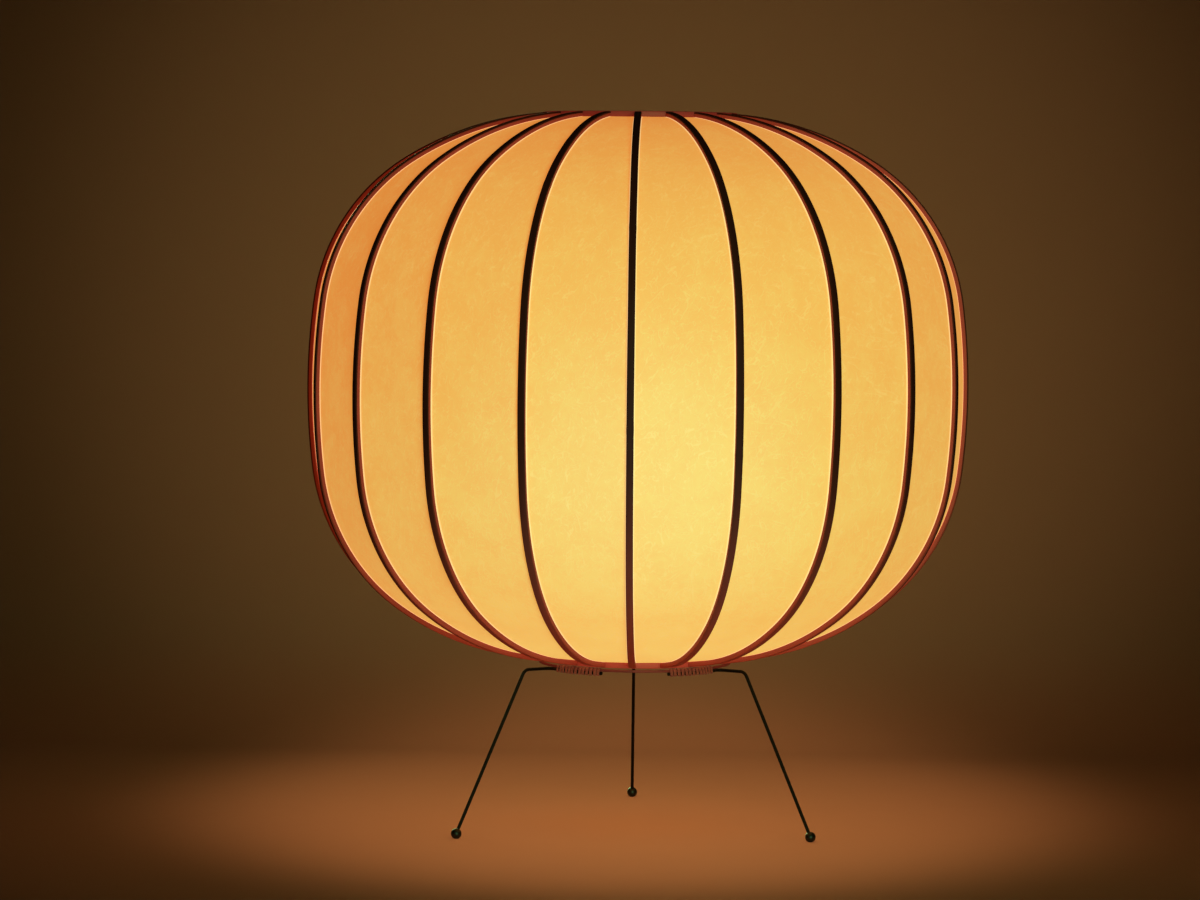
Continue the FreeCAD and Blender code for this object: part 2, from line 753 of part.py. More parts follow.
def build_stem():
    stem = tube("stem", "sizes.stem_radius", "sizes.stem_bore_radius",
                "heights.stem_height", "heights.stem_base")
    nuts = []
    for name, base in (("lower", "heights.lower_nut_base"), ("upper", "heights.bridge_top")):
        outside = prism(f"{name}_nut_outside", "6", "sizes.nut_width / 2", "sizes.nut_height", base)
        bore = cylinder(f"{name}_nut_bore", "sizes.stem_radius + sizes.stem_fit",
                        "sizes.nut_height", base)
        nuts.append(cut(f"{name}_nut", outside, bore))
    pair = doc.addObject("Part::Compound", "lock_nuts")
    pair.Links = nuts
    socket = sizes.stem_radius + sizes.stem_fit
    floor = levels["stem_base"] - sizes.stem_fit
    bush = turned_body("inlet_bush", [(sizes.bush_bore_radius, levels["bush_base"]),
                                      (sizes.bush_radius, levels["bush_base"]),
                                      (sizes.bush_radius, levels["bush_top"]),
                                      (socket, levels["bush_top"]),
                                      (socket, floor),
                                      (sizes.bush_bore_radius, floor)])
    return [stem, name_part(pair, "lock_nuts"), bush]


# ---- Lampholder and bulb ---------------------------------------------------------------------------

def build_holder():
    """Cap, skirt, screw socket and centre contact of the lampholder."""
    sides = "sizes.holder_side_count"
    neck = prism("cap_neck", sides, "sizes.holder_neck_radius", "sizes.holder_neck_height",
                 "heights.holder_base")
    bell = prism("cap_bell", sides, "sizes.holder_radius",
                 "sizes.holder_cap_height - sizes.holder_neck_height",
                 "heights.holder_base + sizes.holder_neck_height")
    outside = doc.addObject("Part::MultiFuse", "cap_outside")
    outside.Shapes = [neck, bell]
    chamber = prism("cap_chamber", sides, "sizes.holder_chamber_radius",
                    "sizes.holder_cap_height", "heights.holder_base + sizes.holder_cap_floor")
    entry = cylinder("cap_entry", "sizes.stem_radius + sizes.stem_fit", "sizes.holder_cap_height",
                     "heights.holder_base")
    cap = name_part(cut("cap_bored", cut("cap_hollow", outside, chamber), entry), "holder_cap")

    block = prism("skirt_block", sides, "sizes.holder_radius", "sizes.holder_skirt_height",
                  "heights.skirt_base")
    socket_outside = "heights.socket_radius + sizes.socket_wall"
    well = cylinder("skirt_well", socket_outside + " + sizes.socket_fit",
                    "sizes.holder_skirt_height", "heights.socket_base")
    skirt = name_part(cut("skirt_bored", block, well), "holder_skirt")
    socket = tube("screw_socket", socket_outside, "heights.socket_radius",
                  "sizes.socket_height", "heights.socket_base")

    contact = new_body("centre_contact")
    sketch = new_sketch(contact, "contact_side", "XZ_Plane")
    low, top = levels["socket_base"], levels["contact_top"]
    sheet, half = sizes.contact_thickness, sizes.contact_length / 2
    draw_loop(sketch, polygon([(-half, low), (half, low), (half, low + sheet),
                               (half - 3 * sheet, low + sheet), (half / 3, top),
                               (-half / 3, top), (-half / 3, top - sheet),
                               (half / 3 - sheet, top - sheet),
                               (half - 5 * sheet, low + sheet), (-half, low + sheet)]))
    symmetric_pad(contact, sketch, "sizes.contact_width")
    return [cap, skirt, socket, contact]


def globe_outline():
    """Neck, shoulder and globe of the bulb as (radius, height) corners, from its cap up."""
    cap_top = levels["bulb_cap_top"]
    middle = levels["bulb_top"] - sizes.bulb_radius
    low = -radians(sizes.bulb_shoulder_angle)
    band = (pi / 2 - low) / (sizes.bulb_bands + 0.5)
    globe = [(sizes.bulb_radius * cos(low + band * step),
              middle + sizes.bulb_radius * sin(low + band * step))
             for step in range(round(sizes.bulb_bands) + 1)]
    globe[-1] = (globe[-1][0], levels["bulb_top"])
    leaving_x, leaving_z = globe[0]
    neck_top = leaving_z - (leaving_x - sizes.bulb_neck_radius) / tan(-low)
    return [(sizes.bulb_neck_radius, cap_top), (sizes.bulb_neck_radius, neck_top)] + globe


def build_bulb():
    """Screw-cap bulb: its button and insulator, its cap, and its opal globe."""
    base, cap_base = levels["bulb_base"], levels["bulb_cap_base"]
    shoulder = base + sizes.bulb_button_height
    button = turned_body("bulb_contact", [
        (0, base), (sizes.bulb_button_radius, base), (sizes.bulb_button_radius, shoulder),
        (sizes.bulb_insulator_radius, shoulder),
        (sizes.bulb_insulator_radius, cap_base - sizes.bulb_gap), (0, cap_base - sizes.bulb_gap)])
    cap = name_part(cylinder("bulb_cap", "sizes.bulb_cap_radius", "sizes.bulb_cap_length",
                             "heights.bulb_cap_base"), "bulb_cap")
    globe = doc.addObject("Part::Feature", "bulb_globe")
    globe.Shape = faceted_solid(globe_outline(), round(sizes.bulb_sides))
    return [button, cap, name_part(globe, "bulb_globe")]


# ---- The whole lamp ----------------------------------------------------------------------------------

def check(parts):
    """Stop if any object failed to build or any sub-part has no sound shape."""
    for item in doc.Objects:
        if {"Invalid", "Error"} & set(item.State):
            raise RuntimeError(f"{item.Name} did not build: {item.State}")
    for part in parts:
        if part.Shape.isNull() or not part.Shape.isValid() or not part.Shape.Solids:
            raise RuntimeError(f"{part.Label} has no valid solid")


def main():
    parts = build_ribs() + build_gores() + build_hoops() + build_tripod()
    parts += [build_bridge(), build_bridge_screws()] + build_stem()
    parts += build_holder() + build_bulb()
    doc.recompute()
    check(parts)
    os.makedirs("parts", exist_ok=True)
    for part in parts:
        part.Shape.exportStep(f"parts/{part.Label}.step")
    print(f"{len(parts)} sub-parts written")


main()
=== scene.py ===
"""Looks of a paper lantern floor lamp, built round its CAD frame, with its setting and camera.

Lengths are in metres. +Z is up, the floor is Z = 0 and the shade's axis is the Z axis. An azimuth
runs about that axis from -Y, the front, towards +X.
"""

from __future__ import annotations

import json
import logging
from dataclasses import dataclass, field
from enum import Enum
from math import acos, atan2, cos, hypot, pi, radians, sin, sqrt, tan
from typing import Callable, Iterable, Sequence

import bmesh
import bpy
from bpy.types import Collection, Material, Mesh, Node, NodeOutputs, NodeSocket, NodeTree, Object
from mathutils import Matrix, Vector, noise

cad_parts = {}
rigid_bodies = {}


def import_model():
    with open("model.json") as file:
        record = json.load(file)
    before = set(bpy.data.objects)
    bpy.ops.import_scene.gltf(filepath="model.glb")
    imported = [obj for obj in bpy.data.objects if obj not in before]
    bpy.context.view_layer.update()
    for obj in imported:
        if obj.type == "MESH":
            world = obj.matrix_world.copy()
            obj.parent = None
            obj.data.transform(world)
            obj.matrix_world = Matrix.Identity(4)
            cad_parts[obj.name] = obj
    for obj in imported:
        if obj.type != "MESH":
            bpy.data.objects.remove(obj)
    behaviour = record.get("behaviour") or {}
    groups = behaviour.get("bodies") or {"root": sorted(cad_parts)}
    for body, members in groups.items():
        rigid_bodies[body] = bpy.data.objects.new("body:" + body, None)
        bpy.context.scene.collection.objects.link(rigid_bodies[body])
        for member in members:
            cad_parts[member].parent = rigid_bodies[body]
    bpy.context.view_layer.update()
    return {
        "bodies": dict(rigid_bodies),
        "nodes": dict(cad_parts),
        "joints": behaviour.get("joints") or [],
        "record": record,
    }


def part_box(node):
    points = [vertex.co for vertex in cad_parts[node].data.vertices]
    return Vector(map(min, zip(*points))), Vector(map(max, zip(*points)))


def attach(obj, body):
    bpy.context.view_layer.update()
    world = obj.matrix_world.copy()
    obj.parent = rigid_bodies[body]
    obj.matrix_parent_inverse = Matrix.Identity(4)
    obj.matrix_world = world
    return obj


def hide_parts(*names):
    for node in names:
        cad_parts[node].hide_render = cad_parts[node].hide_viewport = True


LOG = logging.getLogger("lantern")
MM = 0.001
TINY = 1e-9

Colour = tuple[float, float, float]
Section = Sequence[tuple[float, float]]


class Body(Enum):
    """Bodies of the frame that pieces ride on."""

    LAMP = "lamp"
    TRAVEL = "bulb_travel"
    BULB = "bulb"


class Slot(Enum):
    """Material slots of the record."""

    RIB = "rib"
    PAPER = "paper"
    HOOP = "hoop"
    LEG = "leg_wire"
    FOOT = "foot"
    CORD = "lashing_cord"
    BULB_METAL = "bulb_metal"
    OPAL = "opal"


# ---- Shader nodes ----


class Board:
    """Adds nodes to one node tree and joins them."""

    def __init__(self, tree: NodeTree) -> None:
        """Keep the tree.

        Args:
            tree: the node tree of a material or a group.
        """
        self.tree = tree

    def add(self, kind: str, **settings: object) -> Node:
        """Add a node.

        Args:
            kind: the node's type.
            settings: properties to set on it.

        Returns:
            The new node.
        """
        node = self.tree.nodes.new(kind)
        for name, value in settings.items():
            setattr(node, name, value)
        return node

    def give(self, socket: NodeSocket, value: object) -> None:
        """Join a source to an input, or set the input to a number, vector or colour."""
        if isinstance(value, NodeSocket):
            self.tree.links.new(value, socket)
        else:
            socket.default_value = (*value, 1.0) if socket.type == "RGBA" else value

    def feed(self, node: Node, **inputs: object) -> Node:
        """Give a node's inputs, named with underscores for spaces, a value or a source.

        Args:
            node: the node to feed.
            inputs: a number, colour or output socket for each input.

        Returns:
            The same node.
        """
        for name, value in inputs.items():
            self.give(node.inputs[name.replace("_", " ")], value)
        return node

    def work(self, kind: str, values: Sequence[object], **settings: object) -> NodeOutputs:
        """Add a node and give its inputs in order.

        Args:
            kind: the node's type.
            values: a number, vector, colour or output socket for each input.
            settings: properties to set on the node.

        Returns:
            The node's outputs.
        """
        node = self.add(kind, **settings)
        for socket, value in zip(node.inputs, values):
            self.give(socket, value)
        return node.outputs

    def math(self, operation: str, *values: object, clamp: bool = False) -> NodeSocket:
        """Work out a number from one to three numbers or sockets."""
        return self.work("ShaderNodeMath", values, operation=operation, use_clamp=clamp)[0]

    def vector(self, operation: str, *values: object) -> NodeSocket:
        """Work out a vector from vectors, or the number that LENGTH or DOT_PRODUCT gives."""
        result = "Value" if operation in ("LENGTH", "DOT_PRODUCT") else "Vector"
        return self.work("ShaderNodeVectorMath", values, operation=operation)[result]

    def axis(self, place: NodeSocket, name: str) -> NodeSocket:
        """One coordinate, X, Y or Z, of a place."""
        return self.feed(self.add("ShaderNodeSeparateXYZ"), Vector=place).outputs[name]

    def blend(self, mask: object, first: object, second: object) -> NodeSocket:
        """Mix two colours.

        Args:
            mask: share of the second colour.
            first: colour or socket where the mask is 0.
            second: colour or socket where the mask is 1.

        Returns:
            The mixed colour's socket.
        """
        node = self.add("ShaderNodeMix", data_type="RGBA")
        colours = [socket for socket in node.inputs if socket.type == "RGBA"]
        for socket, value in zip((node.inputs[0], *colours), (mask, first, second)):
            self.give(socket, value)
        return next(socket for socket in node.outputs if socket.type == "RGBA")

    def span(self, value: object, low: float, high: float,
             start: float = 0.0, end: float = 1.0) -> NodeSocket:
        """Map a number smoothly from one range to another.

        Args:
            value: the number or socket to map.
            low: the value that gives start.
            high: the value that gives end.
            start: result at low.
            end: result at high.

        Returns:
            The socket with the result.
        """
        node = self.add("ShaderNodeMapRange", interpolation_type="SMOOTHSTEP")
        self.feed(node, Value=value, From_Min=low, From_Max=high, To_Min=start, To_Max=end)
        return node.outputs[0]

    def noise(self, place: NodeSocket, scale: object, **values: float) -> NodeSocket:
        """Smooth noise from 0 to 1 at a place."""
        node = self.add("ShaderNodeTexNoise")
        return self.feed(node, Vector=place, Scale=scale, **values).outputs["Fac"]


def new_group(name: str, vectors: Sequence[str], inputs: dict[str, float],
              outputs: Sequence[str], fill: Callable[[Board, Node, Node], None]) -> NodeTree:
    """Make a shader node group with vector inputs, number inputs and number outputs.

    Args:
        name: the group's name.
        vectors: names of its vector inputs.
        inputs: default value of each number input.
        outputs: names of its outputs.
        fill: draws the nodes between the group's input and output nodes.

    Returns:
        The group.
    """
    group = bpy.data.node_groups.new(name, "ShaderNodeTree")
    for label in vectors:
        group.interface.new_socket(label, in_out="INPUT", socket_type="NodeSocketVector")
    for label, value in inputs.items():
        socket = group.interface.new_socket(label, in_out="INPUT", socket_type="NodeSocketFloat")
        socket.default_value = value
    for label in outputs:
        group.interface.new_socket(label, in_out="OUTPUT", socket_type="NodeSocketFloat")
    board = Board(group)
    fill(board, board.add("NodeGroupInput"), board.add("NodeGroupOutput"))
    return group


class Effects:
    """Shader node groups that several finishes share."""

    fine_grain = (5200.0, 90.0, 1.0)
    broad_grain = (240.0, 14.0, 1.0)
    broad_share = 0.4
    grain_span = (0.3, 0.7)
    cloud_scale = 26.0
    speck_scale = 190.0
    speck_share = 0.4
    cloud_span = (0.36, 0.64)
    strands = ((60.0, (0.35, 0.245, 0.665)), (85.0, (1.2, 0.84, 2.28)), (72.0, (2.3, 1.61, 4.37)))
    strand_stretch = (1.0, 0.22, 1.0)
    strand_tangle = 1.6
    strand_width = 0.012
    strand_height = 0.35
    rub_scale = 120.0
    rub_level = 0.75
    rub_reach = 0.4
    rub_edge = 9.0
    pit_scale = 1500.0
    pit_height = 0.5

    def __init__(self) -> None:
        """Build every group once."""
        place = ("Place",)
        self.grain = new_group("cane_grain", place, {}, ("Mask", "Height"), self._grain)
        self.washi = new_group("washi_fibre", place, {}, ("Cloud", "Fibre", "Height"),
                               self._washi)
        self.wear = new_group("surface_wear", place, {"Fineness": 1.0, "Amount": 0.3},
                              ("Mask", "Height"), self._wear)
        self.glow = new_group("bulb_light", ("Place", "Normal"), {"Bulb Height": 0.306},
                              ("Light",), self._glow)

    def _grain(self, board: Board, given: Node, result: Node) -> None:
        """Long fibres along V, with soft darker stretches."""
        place = given.outputs["Place"]
        fine = board.noise(board.vector("MULTIPLY", place, self.fine_grain), 1.0, Detail=4.0,
                           Roughness=0.6)
        broad = board.noise(board.vector("MULTIPLY", place, self.broad_grain), 1.0,
                            Detail=2.0)
        both = board.math("MULTIPLY_ADD", fine, 1 - self.broad_share,
                          board.math("MULTIPLY", broad, self.broad_share))
        board.feed(result, Mask=board.span(both, *self.grain_span), Height=fine)

    def _washi(self, board: Board, given: Node, result: Node) -> None:
        """Soft clouds of pulp with long, thin, tangled fibres over them."""
        place = given.outputs["Place"]
        cloud = board.noise(place, self.cloud_scale, Detail=5.0, Roughness=0.62,
                            Distortion=0.35)
        speck = board.noise(place, self.speck_scale, Detail=3.0, Roughness=0.6,
                            Distortion=0.6)
        mixed = board.math("MULTIPLY_ADD", cloud, 1 - self.speck_share,
                           board.math("MULTIPLY", speck, self.speck_share))
        fibre = 0.0
        for scale, turn in self.strands:
            turned = board.feed(board.add("ShaderNodeVectorRotate", rotation_type="EULER_XYZ"),
                                Vector=place, Rotation=turn).outputs[0]
            strand = board.noise(board.vector("MULTIPLY", turned, self.strand_stretch), scale,
                                 Detail=2.0, Distortion=self.strand_tangle)
            ridge = board.math("ABSOLUTE", board.math("SUBTRACT", strand, 0.5))
            fibre = board.math("MAXIMUM", fibre, board.span(ridge, self.strand_width, 0.0))
        board.feed(result, Cloud=board.span(mixed, *self.cloud_span), Fibre=fibre,
                   Height=board.math("MULTIPLY_ADD", fibre, self.strand_height, mixed))

    def _wear(self, board: Board, given: Node, result: Node) -> None:
        """Scattered rubbed spots and fine unevenness."""
        place, fineness = given.outputs["Place"], given.outputs["Fineness"]
        broad = board.noise(place, board.math("MULTIPLY", fineness, self.rub_scale),
                            Detail=6.0, Roughness=0.65)
        fine = board.noise(place, board.math("MULTIPLY", fineness, self.pit_scale), Detail=2.0)
        edge = board.math("MULTIPLY_ADD", given.outputs["Amount"], -self.rub_reach,
                          self.rub_level)
        rubbed = board.math("MULTIPLY", board.math("SUBTRACT", broad, edge), self.rub_edge,
                            clamp=True)
        board.feed(result, Mask=rubbed,
                   Height=board.math("MULTIPLY_ADD", fine, self.pit_height, broad))

    @staticmethod
    def _glow(board: Board, given: Node, result: Node) -> None:
        """Light that reaches a place from the bulb, by distance and by slant."""
        bulb = board.feed(board.add("ShaderNodeCombineXYZ"), Z=given.outputs["Bulb Height"])
        ray = board.vector("SUBTRACT", given.outputs["Place"], bulb.outputs[0])
        slant = board.math("ABSOLUTE", board.vector("DOT_PRODUCT", ray, given.outputs["Normal"]))
        board.feed(result, Light=board.math(
            "DIVIDE", slant, board.math("POWER", board.vector("LENGTH", ray), 3.0)))


@dataclass(frozen=True)
class Surface:
    """Constant values of a finish's Principled shader."""

    roughness: float = 0.5
    metallic: float = 0.0
    coat: float = 0.0
    sheen: float = 0.0
    specular: float = 0.5
    emission: float = 0.0


class Finish:
    """Base of the finishes: one material with a Principled shader and its places."""

    title: str = "finish"
    surface: Surface = Surface()
    bump_depth: float = 0.05 * MM
    bump_strength: float = 0.4
    wear_fineness: float = 1.0
    wear_amount: float = 0.3

    def __init__(self, effects: Effects) -> None:
        """Build the material.

        Args:
            effects: the shared node groups.
        """
        self.effects = effects
        self.material = bpy.data.materials.new(self.title)
        self.material.use_nodes = True
        self.board = Board(self.material.node_tree)
        self.shader = next(node for node in self.board.tree.nodes
                           if node.type == "BSDF_PRINCIPLED")
        board, look = self.board, self.surface
        board.feed(self.shader, Roughness=look.roughness, Metallic=look.metallic,
                   Coat_Weight=look.coat, Sheen_Weight=look.sheen,
                   Specular_IOR_Level=look.specular, Emission_Strength=look.emission)
        self.places = board.add("ShaderNodeTexCoord").outputs
        self.dress()

    def dress(self) -> None:
        """Join the nodes that vary over the surface."""

    def effect(self, group: NodeTree, places: str = "Object",
               **values: object) -> NodeOutputs:
        """Place a shared group with its own values.

        Args:
            group: the node group.
            places: the texture places that it takes, Object or UV.
            values: its other inputs.

        Returns:
            The group's outputs.
        """
        node = self.board.add("ShaderNodeGroup", node_tree=group)
        return self.board.feed(node, Place=self.places[places], **values).outputs

    def grain(self) -> NodeOutputs:
        """Mask and height of the cane's fibres."""
        return self.effect(self.effects.grain, "UV")

    def wear(self) -> NodeOutputs:
        """Mask and height of rubbed spots, by the finish's own fineness and amount."""
        return self.effect(self.effects.wear, Fineness=self.wear_fineness,
                           Amount=self.wear_amount)

    def bump(self, height: NodeSocket) -> None:
        """Let a height bend the shader's normal."""
        node = self.board.feed(self.board.add("ShaderNodeBump"), Height=height,
                               Distance=self.bump_depth, Strength=self.bump_strength)
        self.board.feed(self.shader, Normal=node.outputs[0])


class Cane(Finish):
    """Base of the split bamboo finishes."""

    dark: Colour = (0.02, 0.01, 0.005)
    light: Colour = (0.04, 0.02, 0.01)
    grain_span = (0.2, 0.8)
    smoother = 0.08
    rougher = 0.1
    bump_depth = 0.12 * MM
    bump_strength = 0.6

    def dress(self) -> None:
        """Stain lies darker and lighter along the fibres."""
        board, rough = self.board, self.surface.roughness
        grain = self.grain()
        board.feed(self.shader, Base_Color=board.blend(grain["Mask"], self.dark, self.light),
                   Roughness=board.span(grain["Height"], *self.grain_span,
                                        rough - self.smoother, rough + self.rougher))
        self.bump(grain["Height"])


class StainedSkin(Cane):
    """Dark brown stain on the outer skin of a rib, its colour lighter and redder towards the
    bottom of the shade.
    """

    title = "rib_stained_skin"
    surface = Surface(roughness=0.55, specular=0.06)
    dark = (0.050, 0.008, 0.008)
    light = (0.092, 0.015, 0.014)
    # colours towards the bottom hoop, lighter and redder
    low_dark: Colour = (0.38, 0.050, 0.050)
    low_light: Colour = (0.57, 0.078, 0.072)
    lightest_below = 0.165
    darkest_above = 0.38

    def dress(self) -> None:
        """Colour lighter and redder towards the bottom hoop."""
        board = self.board
        grain = self.grain()
        thickness_and_height = board.span(board.axis(self.places["Object"], "Z"), self.lightest_below,
                           self.darkest_above)
        board.feed(self.shader, Base_Color=board.blend(
            thickness_and_height, board.blend(grain["Mask"], self.low_dark, self.low_light),
            board.blend(grain["Mask"], self.dark, self.light)))
        self.bump(grain["Height"])


class SplitSide(Cane):
    """Split sides of a rib, with painted light: the bright red-brown that the glowing paper
    lights them to.
    """

    title = "rib_split_side_painted_light"
    surface = Surface(roughness=0.55, specular=0.1)
    # painted light: the red-brown that the paper's glow lends the sides
    dark = (0.36, 0.052, 0.058)
    light = (0.52, 0.080, 0.086)


class HoopCane(Cane):
    """Crimson-brown stain on the hoops, with a painted glow for the light from behind."""

    title = "hoop_stain"
    surface = Surface(roughness=0.5, specular=0.3, emission=1.0)
    dark = (0.26, 0.028, 0.032)
    light = (0.37, 0.042, 0.048)
    # painted glow: emission colours for the light from behind
    glow_dark: Colour = (0.035, 0.004, 0.003)
    glow_light: Colour = (0.055, 0.006, 0.004)

    def dress(self) -> None:
        """Grain in the stain and in its painted glow."""
        super().dress()
        grain = self.grain()
        self.board.feed(self.shader, Emission_Color=self.board.blend(
            grain["Mask"], self.glow_dark, self.glow_light))


class LowHoopCane(HoopCane):
    """The same stain on the bottom hoop with painted light: lighter colours and a stronger
    painted glow for the bulb's stronger light there.
    """

    title = "bottom_hoop_stain_painted_light"
    # painted light: lighter stain colours and a stronger painted glow than the top hoop's
    dark = (0.38, 0.040, 0.036)
    light = (0.54, 0.062, 0.054)
    glow_dark = (0.07, 0.008, 0.005)
    glow_light = (0.10, 0.012, 0.007)


class RingCane(HoopCane):
    """The hoops' stain on the carrier ring, darkened as painted shade for the bottom hoop's
    shadow, with a weaker painted glow.
    """

    title = "carrier_ring_stain_painted_shade"
    surface = Surface(roughness=0.55, specular=0.25, emission=0.6)
    # painted shade: darker than the hoops' stain, for the bottom hoop's shadow
    dark = (0.15, 0.018, 0.020)
    light = (0.22, 0.028, 0.030)


class WashiPaper(Finish):
    """Mulberry paper lit from inside by the bulb, with a painted band of brighter light along
    each rib.
    """

    title = "washi_paper"
    surface = Surface(roughness=0.9, sheen=0.1, specular=0.15, emission=1.0)
    pulp: Colour = (0.70, 0.62, 0.34)
    fibre: Colour = (0.78, 0.72, 0.44)
    dim: Colour = (0.75, 0.235, 0.038)
    bright: Colour = (0.75, 0.44, 0.100)
    # painted light: brighter band along each rib; also the colour that the fibres glow towards
    fibre_and_rib_band: Colour = (0.95, 0.62, 0.27)
    faint_light = 7.2
    full_light = 20.0
    cloud_depth = 0.28
    fibre_light = 0.06
    rib_band_from = 4.1 * MM
    rib_band_full = 3.3 * MM
    rib_band_depth = 0.75
    bump_depth = 0.4 * MM
    bump_strength = 0.5

    def dress(self) -> None:
        """Glow by the bulb's light, broken up by pulp clouds and fibres, with a painted band of
        light along each rib.
        """
        board = self.board
        washi = self.effect(self.effects.washi)
        normal = board.add("ShaderNodeNewGeometry").outputs["Normal"]
        light = self.effect(self.effects.glow, Normal=normal)["Light"]
        lit = board.math("DIVIDE", board.math("SUBTRACT", light, self.faint_light),
                         self.full_light - self.faint_light, clamp=True)
        thickness_and_height = board.math("MULTIPLY", board.math("SUBTRACT", 0.5, washi["Cloud"]),
                           self.cloud_depth)
        shade = board.blend(board.math("SUBTRACT", lit, thickness_and_height, clamp=True), self.dim,
                            self.bright)
        threaded = board.blend(board.math("MULTIPLY", washi["Fibre"], self.fibre_light), shade,
                               self.fibre_and_rib_band)
        # mask of the painted band of light along each rib's edge
        paste_and_rib_band = board.span(board.axis(self.places["UV"], "X"), self.rib_band_full,
                           self.rib_band_from, self.rib_band_depth, 0.0)
        board.feed(self.shader, Base_Color=board.blend(washi["Fibre"], self.pulp, self.fibre),
                   Emission_Color=board.blend(paste_and_rib_band, threaded, self.fibre_and_rib_band))
        self.bump(washi["Height"])


class WashiBack(WashiPaper):
    """The same paper on the side that faces the bulb, with each rib's shadow painted as a darker
    band.
    """

    title = "washi_paper_inside"
    surface = Surface(roughness=0.9, sheen=0.1, specular=0.15, emission=0.55)
    # painted shadow of each rib; also the colour that the fibres darken towards
    fibre_and_rib_band = (0.34, 0.13, 0.03)
    rib_band_from = 3.6 * MM
    rib_band_full = 2.7 * MM


@dataclass(frozen=True)
class Rubbed:
    """A smooth finish, and how much of it is rubbed."""

    title: str
    surface: Surface
    base: Colour
    rubbed: Colour
    amount: float = 0.3


LACQUER = Rubbed("leg_black_lacquer", Surface(roughness=0.45, specular=0.08),
                 (0.005, 0.003, 0.003), (0.011, 0.007, 0.006))
BALL = Rubbed("foot_black", Surface(roughness=0.4, specular=0.3),
              (0.006, 0.005, 0.004), (0.014, 0.012, 0.01))
ZINC = Rubbed("zinc_plate", Surface(roughness=0.38, metallic=1.0),
              (0.56, 0.55, 0.52), (0.68, 0.67, 0.64), 0.5)
MOULDED = Rubbed("moulded_black", Surface(roughness=0.4, coat=0.15),
                 (0.022, 0.019, 0.017), (0.045, 0.04, 0.035))
BRASS = Rubbed("brass_sheet", Surface(roughness=0.32, metallic=1.0),
               (0.72, 0.50, 0.20), (0.82, 0.62, 0.30), 0.5)
BULB_METAL = Rubbed("bulb_cap_metal", Surface(roughness=0.28, metallic=1.0),
                    (0.72, 0.71, 0.68), (0.82, 0.81, 0.79))
INSULATOR = Rubbed("bulb_insulator", Surface(roughness=0.15, coat=0.4),
                   (0.012, 0.010, 0.014), (0.02, 0.018, 0.02))


class Worn(Finish):
    """Smooth finish with rubbed spots."""

    polish = 0.1

    def __init__(self, effects: Effects, look: Rubbed) -> None:
        """Build the material.

        Args:
            effects: the shared node groups.
            look: its colours and surface.
        """
        self.title, self.surface, self.look = look.title, look.surface, look
        self.wear_amount = look.amount
        super().__init__(effects)

    def dress(self) -> None:
        """Rubbed spots are lighter and smoother."""
        board, look, rough = self.board, self.look, self.surface.roughness
        wear = self.wear()
        board.feed(self.shader, Base_Color=board.blend(wear["Mask"], look.base, look.rubbed),
                   Roughness=board.span(wear["Mask"], 0.0, 1.0, rough, rough - self.polish))
        self.bump(wear["Height"])


class OpalGlobe(Finish):
    """Opal bulb, lit."""

    title = "bulb_opal"
    surface = Surface(roughness=0.25, coat=0.3, emission=3.2)
    neck: Colour = (0.70, 0.64, 0.55)
    globe: Colour = (0.88, 0.84, 0.76)
    neck_light: Colour = (0.75, 0.42, 0.14)
    globe_light: Colour = (1.0, 0.66, 0.28)
    dull_below = 0.25
    full_above = 0.29
    bump_depth = 0.02 * MM
    bump_strength = 0.3
    wear_fineness = 0.6

    def dress(self) -> None:
        """Brightest round the middle of the globe, duller at its neck."""
        board = self.board
        up = board.span(board.axis(self.places["Object"], "Z"), self.dull_below,
                        self.full_above)
        board.feed(self.shader, Base_Color=board.blend(up, self.neck, self.globe),
                   Emission_Color=board.blend(up, self.neck_light, self.globe_light))
        self.bump(self.wear()["Height"])


class WaxedCord(Finish):
    """Red-brown waxed cord of the lashings, two plies twisted together, with painted shade in the
    grooves and a painted glow.
    """

    title = "lashing_cord"
    surface = Surface(roughness=0.7, sheen=0.2, emission=1.0)
    # painted shade: the groove colour is darker than the plies
    groove_shade: Colour = (0.14, 0.020, 0.018)
    ply: Colour = (0.34, 0.048, 0.038)
    rubbed: Colour = (0.36, 0.07, 0.05)
    # painted glow of the cord, in its grooves and on its plies
    groove_glow: Colour = (0.012, 0.0015, 0.001)
    ply_glow: Colour = (0.03, 0.004, 0.003)
    twists_per_metre = 900.0
    bump_depth = 0.1 * MM
    bump_strength = 0.8
    wear_fineness = 3.0
    wear_amount = 0.6

    def dress(self) -> None:
        """Slanted plies across the cord, from its UV map, darker in the grooves as painted shade.
        """
        board, place = self.board, self.places["UV"]
        both = board.math("ADD", board.axis(place, "X"), board.axis(place, "Y"))
        wave = board.math("SINE", board.math("MULTIPLY", both, 2 * pi * self.twists_per_metre))
        height = board.span(wave, -1.0, 1.0)
        wear = self.wear()
        cord = board.blend(height, self.groove_shade, self.ply)
        board.feed(self.shader, Base_Color=board.blend(wear["Mask"], cord, self.rubbed),
                   Emission_Color=board.blend(height, self.groove_glow, self.ply_glow))
        self.bump(height)


